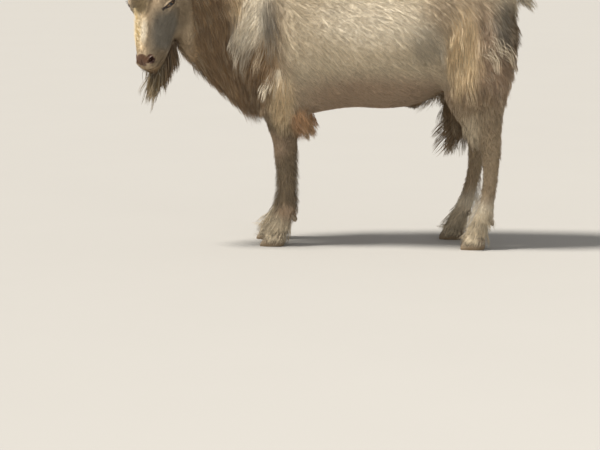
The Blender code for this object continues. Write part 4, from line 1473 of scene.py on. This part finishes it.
def tuft_tree(name, scattered):
    """Tufts on a surface or on given points, turned to their lie and scaled to their size."""
    tree, start, end = geometry_tree(
        name,
        (
            ("Tuft", "NodeSocketObject", None),
            ("Cover", "NodeSocketFloat", 1.0),
            ("Seed", "NodeSocketInt", 0),
            ("Material", "NodeSocketMaterial", None),
        ),
    )
    length, width = named(tree, "hair_length"), named(tree, "hair_width")
    points, up = start["Geometry"], named(tree, "up", "FLOAT_VECTOR")
    if scattered:
        density = maths(tree, "DIVIDE", start["Cover"], times(tree, length, width))
        density = times(tree, density, named(tree, "short"))
        inputs = {"Mesh": points, "Density": density, "Seed": start["Seed"]}
        spread = add(tree, "GeometryNodeDistributePointsOnFaces", inputs)
        points, up = spread.outputs["Points"], spread.outputs["Normal"]
    inputs = {"Min": (-SWAY,) * 3, "Max": (SWAY,) * 3, "Seed": start["Seed"]}
    sway = first_of(add(tree, "FunctionNodeRandomValue", inputs, data_type="FLOAT_VECTOR"))
    inputs = {0: named(tree, "lie", "FLOAT_VECTOR"), 1: sway}
    lie = add(tree, "ShaderNodeVectorMath", inputs, operation="ADD").outputs[0]
    turn = add(
        tree, "FunctionNodeAxesToRotation",
        {"Primary Axis": up, "Secondary Axis": lie}, primary_axis="Z", secondary_axis="X",
    )
    inputs = {2: 0.7, 3: 1.25, "Seed": start["Seed"]}
    long = times(tree, length, first_of(add(tree, "FunctionNodeRandomValue", inputs)))
    size = add(tree, "ShaderNodeCombineXYZ", {"X": long, "Y": width, "Z": long})
    shape = add(tree, "GeometryNodeObjectInfo", {"Object": start["Tuft"]})
    inputs = {
        "Points": points,
        "Instance": shape.outputs["Geometry"],
        "Rotation": turn.outputs[0],
        "Scale": size.outputs[0],
    }
    standing = add(tree, "GeometryNodeInstanceOnPoints", inputs)
    return ended(tree, standing.outputs[0], start["Material"], end)


def one_tuft(rings, rise):
    """A tuft one unit long and wide that leans up from its root along +X."""
    share = np.linspace(0, 1, rings + 1)
    path = np.stack([share, share * 0, rise * np.sin(share * 2.0) - 0.06], axis=1)[None]
    up = np.array([[0.0, 0.0, 1.0]])
    mesh, along, per = tuft_mesh("tuft", path, np.array([1.0]), up, 0.0, np.random.default_rng(0))
    points = vectors(mesh.vertices, "co")
    line = np.interp(points[:, 0], share, path[0, :, 2])
    points[:, 2] = line + (points[:, 2] - line) * 0.12
    move(mesh, points)
    return mesh, along, per


def scatter(name, source, scattered, rings, rise, material, cover, seed):
    """Tufts from the tree, with the numbers that are needed to finish them."""
    template, along, per = one_tuft(rings, rise)
    shape = placed("tuft_shape", template)
    tree = tuft_tree(name + "_tree", scattered)
    values = {"Tuft": shape, "Cover": cover, "Seed": seed, "Material": material}
    mesh = run_tree(source, tree, values)
    bpy.data.objects.remove(shape)
    count = len(mesh.vertices) // per
    points = vectors(mesh.vertices, "co").reshape(count, per, 3)
    return mesh, points[:, :3].mean(axis=1), np.tile(along, count), per


def make_short_coat():
    """Short tufts wherever the hair is short, by Geometry Nodes."""
    skin = bpy.data.objects["skin"].data
    look, surface = SKIN["look"], SKIN["surface"]
    rng = np.random.default_rng(settings("coat").seed + 2)
    short = SKIN["furred"] * (1 - long_share(look))
    for k, (name, regions) in enumerate(SHORT_PIECES.items()):
        share = surface.weights[:, [REGIONS.index(region) for region in regions]].sum(axis=1)
        source = skin.copy()
        store(source, "short", short * (share > 0.5))
        cover = settings("coat").short_cover * thinned()
        mesh, roots, along, per = scatter(
            name, source, True, 2, 0.20, hair_material("goat_short_hair"), cover,
            settings("coat").seed + k,
        )
        _, faces, _ = surface.nearest(roots)
        shares = np.full((len(roots), 3), 1 / 3)
        tint = surface.mixed(look.colour, faces, shares)
        finish_tufts(mesh, along, per, roots, faces, tint, rng)
        show(name, mesh)


def hairs_at(name, points, lies, ups, lengths, width, material):
    """Single hairs at given points: lashes and whiskers."""
    source = bpy.data.meshes.new(name)
    source.from_pydata(points.tolist(), [], [])
    store(source, "lie", lies, "FLOAT_VECTOR")
    store(source, "up", ups, "FLOAT_VECTOR")
    store(source, "hair_length", lengths)
    store(source, "hair_width", np.full(len(points), width))
    mesh, roots, along, per = scatter(name, source, False, 4, 0.30, material, 1.0, 3)
    _, faces, _ = SKIN["surface"].nearest(roots)
    tint = np.tile(colour("white"), (len(roots), 1))
    finish_tufts(mesh, along, per, roots, faces, tint, np.random.default_rng(5))
    show(name, mesh)


def make_lashes():
    """Dark lashes along both upper lids."""
    group = settings("head")
    half = group.lid_length / 2
    points, lies, ups = [], [], []
    for side, _ in SIDES:
        for x in np.linspace(-0.88, 0.88, LASH_COUNT):
            bow = 1 - x * x
            y = group.lid_opening / 2 * bow**0.75 + LID_BOW * bow + 0.0004
            out = np.array([x * half, y, 0.0])
            out[2] = math.sqrt((group.eye_radius + LASH_OUT) ** 2 - out[0] ** 2 - out[1] ** 2)
            lie = unit(np.array([x * 0.5, 0.35, 1.0]))
            up = np.cross(np.cross(lie, (0.0, 1.0, 0.0)), lie) + 0.01 * unit(out)
            points.append(mirrored(out @ eye_axes() + EYE_PLACE, side))
            lies.append(mirrored(lie @ eye_axes(), side))
            ups.append(mirrored(unit(up) @ eye_axes(), side))
    points, lengths = from_head(np.array(points)), np.full(len(points), LASH_LENGTH)
    lies, ups = np.array(lies) @ HEAD_AXES, np.array(ups) @ HEAD_AXES
    hairs_at("lashes", points, lies, ups, lengths, LASH_WIDTH, lash_material())


def make_whiskers():
    """Sparse stiff hairs on the lips and chin."""
    surface = SKIN["surface"]
    rng = np.random.default_rng(settings("coat").seed + 4)
    density = within(SKIN["look"].head, *WHISKER_AREA) * WHISKER_ROOTS
    faces, shares = surface.roots(density, rng)
    points = surface.mixed(surface.points, faces, shares)
    normals = unit(surface.mixed(surface.normals, faces, shares))
    lies = unit(normals + 0.4 * HEAD_NOSE + 0.5 * rng.normal(size=normals.shape))
    ups = unit(np.cross(np.cross(lies, HEAD_FRONT), lies))
    lengths = rng.uniform(*WHISKER_LENGTHS, len(points))
    hairs_at("whiskers", points, lies, ups, lengths, WHISKER_WIDTH, hair_material())


# Eyes, horns and hooves.


def make_eye(label, side):
    """An eyeball with a slightly domed front, turned to look where the lids open."""
    radius = settings("head").eye_radius
    bm = bmesh.new()
    bmesh.ops.create_uvsphere(bm, u_segments=40, v_segments=28, radius=radius)
    # A new sphere has its faces in any order, so they are sorted by their vertices.
    bm.verts.index_update()
    count = len(bm.verts)
    bm.faces.sort(key=lambda face: sum(v.index * count**k for k, v in enumerate(face.verts)))
    mesh = as_mesh(f"eyeball_{label}", bm)
    gaze = vectors(mesh.vertices, "co") / radius
    dome = 1 + 0.05 * smooth((gaze[:, 2] - 0.72) / 0.2)
    out = unit(np.array(GAZE))
    level = unit(np.cross(out, HEAD_AXES[:, 2]))
    axes = np.stack([level, np.cross(out, level), out])
    local = (gaze * dome[:, None] * radius) @ axes
    move(mesh, from_head(mirrored(local + EYE_PLACE, side)))
    store(mesh, "gaze", gaze, "FLOAT_VECTOR")
    outwards(mesh)
    show(f"eyeball_{label}", mesh, (f"eye_{label}",), eye_material())


def outwards(mesh):
    """Turn the faces of a closed mesh outwards."""
    bm = bmesh.new()
    bm.from_mesh(mesh)
    bm.normal_update()
    bmesh.ops.recalc_face_normals(bm, faces=bm.faces)
    bm.to_mesh(mesh)
    bm.free()


def horn_tree():
    """Growth rings: the surface swells and narrows along the horn, less towards the tip."""
    tree, start, end = geometry_tree(
        "horn_rings",
        (
            ("Rings", "NodeSocketInt", 19),
            ("Height", "NodeSocketFloat", 0.001),
            ("Material", "NodeSocketMaterial", None),
        ),
    )
    share = named(tree, "share")
    wave = maths(tree, "SINE", times(tree, share, start["Rings"], math.tau))
    sharp = maths(tree, "POWER", maths(tree, "MULTIPLY_ADD", wave, 0.5, 0.5), 2.0)
    fade = maths(tree, "SUBTRACT", 1.0, maths(tree, "POWER", share, 1.6))
    height = times(tree, sharp, fade, start["Height"])
    offset = scaled(tree, add(tree, "GeometryNodeInputNormal").outputs[0], height)
    inputs = {"Geometry": start["Geometry"], "Offset": offset}
    moved = add(tree, "GeometryNodeSetPosition", inputs).outputs[0]
    inputs = {"Geometry": moved, "Name": "ring", "Value": sharp}
    kept = add(tree, "GeometryNodeStoreNamedAttribute", inputs, data_type="FLOAT", domain="POINT")
    return ended(tree, kept.outputs[0], start["Material"], end)


def make_horn(label, side):
    """A horn along its arc, oval with a keel in front, with growth rings."""
    around = HORN_SIDES
    points, shares = [], []
    for k in range(HORN_ROWS):
        share = -0.13 + 1.13 * k / (HORN_ROWS - 1)
        grow = max(share, 0.0)
        turn = HORN_SWEEP * share
        thick = HORN_ROOT * (1 - HORN_TAPER * grow**1.3) * (1.0 if share < 0.97 else 0.75)
        drop = (HORN_ARC * math.sin(turn), HORN_ARC * (1 - math.cos(turn)), 0)
        centre = np.array(HORN_PLACE) - drop
        centre[2] += HORN_SPLAY * share * abs(share)
        out = np.array([-math.sin(turn), math.cos(turn), 0.0])
        for j in range(around):
            angle = math.tau * j / around
            keel = 1 - HORN_KEEL * math.cos(angle)
            wide = HORN_BREADTH * thick * math.sin(angle) * keel
            points.append(centre + out * thick * math.cos(angle) + np.array([0, 0, wide]))
            shares.append(grow)
    tip, foot = len(points), len(points) + 1
    last = tip - around
    points += [(points[last] + points[last + around // 2]) / 2, np.mean(points[:around], axis=0)]
    shares += [1.0, 0.0]
    faces = []
    for row in range(0, last, around):
        for j in range(around):
            a, b = row + j, row + (j + 1) % around
            faces += [(a, b, b + around), (a, b + around, a + around)]
    for j in range(around):
        turned = (j + 1) % around
        faces += [(foot, turned, j), (tip, last + j, last + turned)]
    points = from_head(mirrored(np.array(points), side))
    mesh = triangle_mesh(f"horn_{label}", points, np.array(faces))
    outwards(mesh)
    store(mesh, "share", np.array(shares))
    group = settings("head")
    values = {"Rings": group.horn_rings, "Height": group.ring_height, "Material": horn_material()}
    mesh = run_tree(mesh, horn_tree(), values)
    show(f"ringed_horn_{label}", mesh, (f"horn_{label}",))


def make_hoof(node, wall):
    """A claw or dewclaw: the frame's shape, rounded, with a claw's edges at the sole kept sharp."""
    bm = merged(node)
    flat = node.startswith("hoof_")
    layer = bm.edges.layers.float.new("crease_edge")
    for edge in bm.edges:
        if flat and all(vertex.co.z < 1e-4 for vertex in edge.verts):
            edge[layer] = 0.9
    bmesh.ops.dissolve_limit(bm, angle_limit=math.radians(1), verts=bm.verts, edges=bm.edges)
    obj = placed("rounding", as_mesh("hoof", bm))
    round_off = obj.modifiers.new("Round", "SUBSURF")
    round_off.levels = round_off.render_levels = 2
    mesh = evaluated(obj)
    points = vectors(mesh.vertices, "co")
    if flat:
        points[:, 2] = np.where(points[:, 2] < 0.0004, 0.0, points[:, 2])
    move(mesh, points)
    show("horn_of_" + node, mesh, (node,), wall)


def make_hooves():
    """Every claw and dewclaw of the frame, rounded."""
    wall = hoof_material()
    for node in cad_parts:
        if node.startswith(("hoof_", "dewclaw")):
            make_hoof(node, wall)


# The stage.


def turned_to(made, place, aim):
    """Put a lamp or the camera at a place and turn it to face another."""
    made.location = place
    made.rotation_euler = (Vector(aim) - Vector(place)).to_track_quat("-Z", "Y").to_euler()


def lamp(name, kind, place, power, shade):
    """A lamp that shines on the goat from its place."""
    data = bpy.data.lights.new(name, kind)
    data.energy, data.color = power, shade
    turned_to(placed(name, data), place, LAMP_AIM)
    return data


def make_stage():
    """A plain pale floor, soft lamps and the camera."""
    mesh = bpy.data.meshes.new("floor")
    corners = [(x * FLOOR_HALF, y * FLOOR_HALF, 0) for x, y in ((-1, -1), (1, -1), (1, 1), (-1, 1))]
    mesh.from_pydata(corners, [], [(0, 1, 2, 3)])
    floor = placed("floor", mesh)
    made, tree, shader = shader_tree("floor", Roughness=0.9)
    shade = ranged(tree, noise_of(tree, 2.0), 0.985, 1.015)
    finished(tree, shader, scaled(tree, FLOOR_COLOUR, shade))
    mesh.materials.append(made)
    sun = Vector(LAMP_AIM) + 4 * Vector(SUN_FROM)
    lamp("key", "SUN", sun, SUN_STRENGTH, SUN_COLOUR).angle = SUN_SPREAD
    lamp("fill", "AREA", FILL_PLACE, FILL_POWER, SOFT_WHITE).size = FILL_SIZE
    world = bpy.data.worlds.new("studio")
    world.use_nodes = True
    sky = world.node_tree.nodes["Background"].inputs
    sky["Color"].default_value = (*SOFT_WHITE, 1.0)
    sky["Strength"].default_value = SKY_STRENGTH
    bpy.context.scene.world = world
    data = bpy.data.cameras.new("camera")
    data.lens, data.sensor_width, data.clip_end = CAMERA_LENS, 36.0, 2000.0
    camera = placed("camera", data)
    turned_to(camera, CAMERA_PLACE, CAMERA_AIM)
    bpy.context.scene.camera = camera
    bpy.context.scene.view_settings.view_transform = "Standard"


# The add-on.


class GOAT_OT_skin(bpy.types.Operator):
    """Make the skin over all the flesh, with its lids, nostrils, mouth and ears."""

    bl_idname = "goat.skin"
    bl_label = "Skin"

    def execute(self, context):
        make_skin()
        return {"FINISHED"}


class GOAT_OT_eyes(bpy.types.Operator):
    """Make both eyeballs."""

    bl_idname = "goat.eyes"
    bl_label = "Eyes"

    def execute(self, context):
        for side, label in SIDES:
            make_eye(label, side)
        return {"FINISHED"}


class GOAT_OT_horns(bpy.types.Operator):
    """Make both horns with their growth rings."""

    bl_idname = "goat.horns"
    bl_label = "Horns"

    def execute(self, context):
        for side, label in SIDES:
            make_horn(label, side)
        return {"FINISHED"}


class GOAT_OT_hooves(bpy.types.Operator):
    """Make the claws and dewclaws of all four feet."""

    bl_idname = "goat.hooves"
    bl_label = "Hooves"

    def execute(self, context):
        make_hooves()
        return {"FINISHED"}


class GOAT_OT_long_coat(bpy.types.Operator):
    """Grow the long locks of the neck, trunk, tail, legs, jaw, scrotum and forelock."""

    bl_idname = "goat.long_coat"
    bl_label = "Long Coat"

    def execute(self, context):
        make_long_coat()
        return {"FINISHED"}


class GOAT_OT_beard(bpy.types.Operator):
    """Grow the beard and the locks that hang over the rest."""

    bl_idname = "goat.beard"
    bl_label = "Beard"

    def execute(self, context):
        make_beard()
        make_locks()
        return {"FINISHED"}


class GOAT_OT_short_coat(bpy.types.Operator):
    """Scatter short tufts over the face and the ears."""

    bl_idname = "goat.short_coat"
    bl_label = "Short Coat"

    def execute(self, context):
        make_short_coat()
        return {"FINISHED"}


class GOAT_OT_lashes(bpy.types.Operator):
    """Set the lashes on the lids and the whiskers on the lips."""

    bl_idname = "goat.lashes"
    bl_label = "Lashes and Whiskers"

    def execute(self, context):
        make_lashes()
        make_whiskers()
        return {"FINISHED"}


class GOAT_OT_stage(bpy.types.Operator):
    """Lay the floor and set the lamps and the camera."""

    bl_idname = "goat.stage"
    bl_label = "Stage"

    def execute(self, context):
        make_stage()
        return {"FINISHED"}


class GOAT_PT_panel(bpy.types.Panel):
    """The steps that build the goat, and its settings."""

    bl_label = "Goat"
    bl_idname = "GOAT_PT_panel"
    bl_space_type = "VIEW_3D"
    bl_region_type = "UI"
    bl_category = "Goat"

    def draw(self, context):
        for step in STEPS:
            self.layout.operator(step.bl_idname)
        for group in GROUPS:
            box = self.layout.box()
            box.label(text=group.capitalize())
            for name in GROUPS[group].__annotations__:
                box.prop(settings(group), name)


STEPS = (
    GOAT_OT_skin,
    GOAT_OT_eyes,
    GOAT_OT_horns,
    GOAT_OT_hooves,
    GOAT_OT_long_coat,
    GOAT_OT_beard,
    GOAT_OT_short_coat,
    GOAT_OT_lashes,
    GOAT_OT_stage,
)
GROUPS = {"colours": GoatColours, "coat": GoatCoat, "head": GoatHead}


def register():
    for made in (*GROUPS.values(), *STEPS, GOAT_PT_panel):
        bpy.utils.register_class(made)
    for name, group in GROUPS.items():
        setattr(bpy.types.Scene, "goat_" + name, PointerProperty(type=group))


def unregister():
    for name in GROUPS:
        delattr(bpy.types.Scene, "goat_" + name)
    for made in (GOAT_PT_panel, *reversed(STEPS), *GROUPS.values()):
        bpy.utils.unregister_class(made)


def main():
    register()
    for step in STEPS:
        group, name = step.bl_idname.split(".")
        getattr(getattr(bpy.ops, group), name)()


if __name__ == "__main__":
    main()
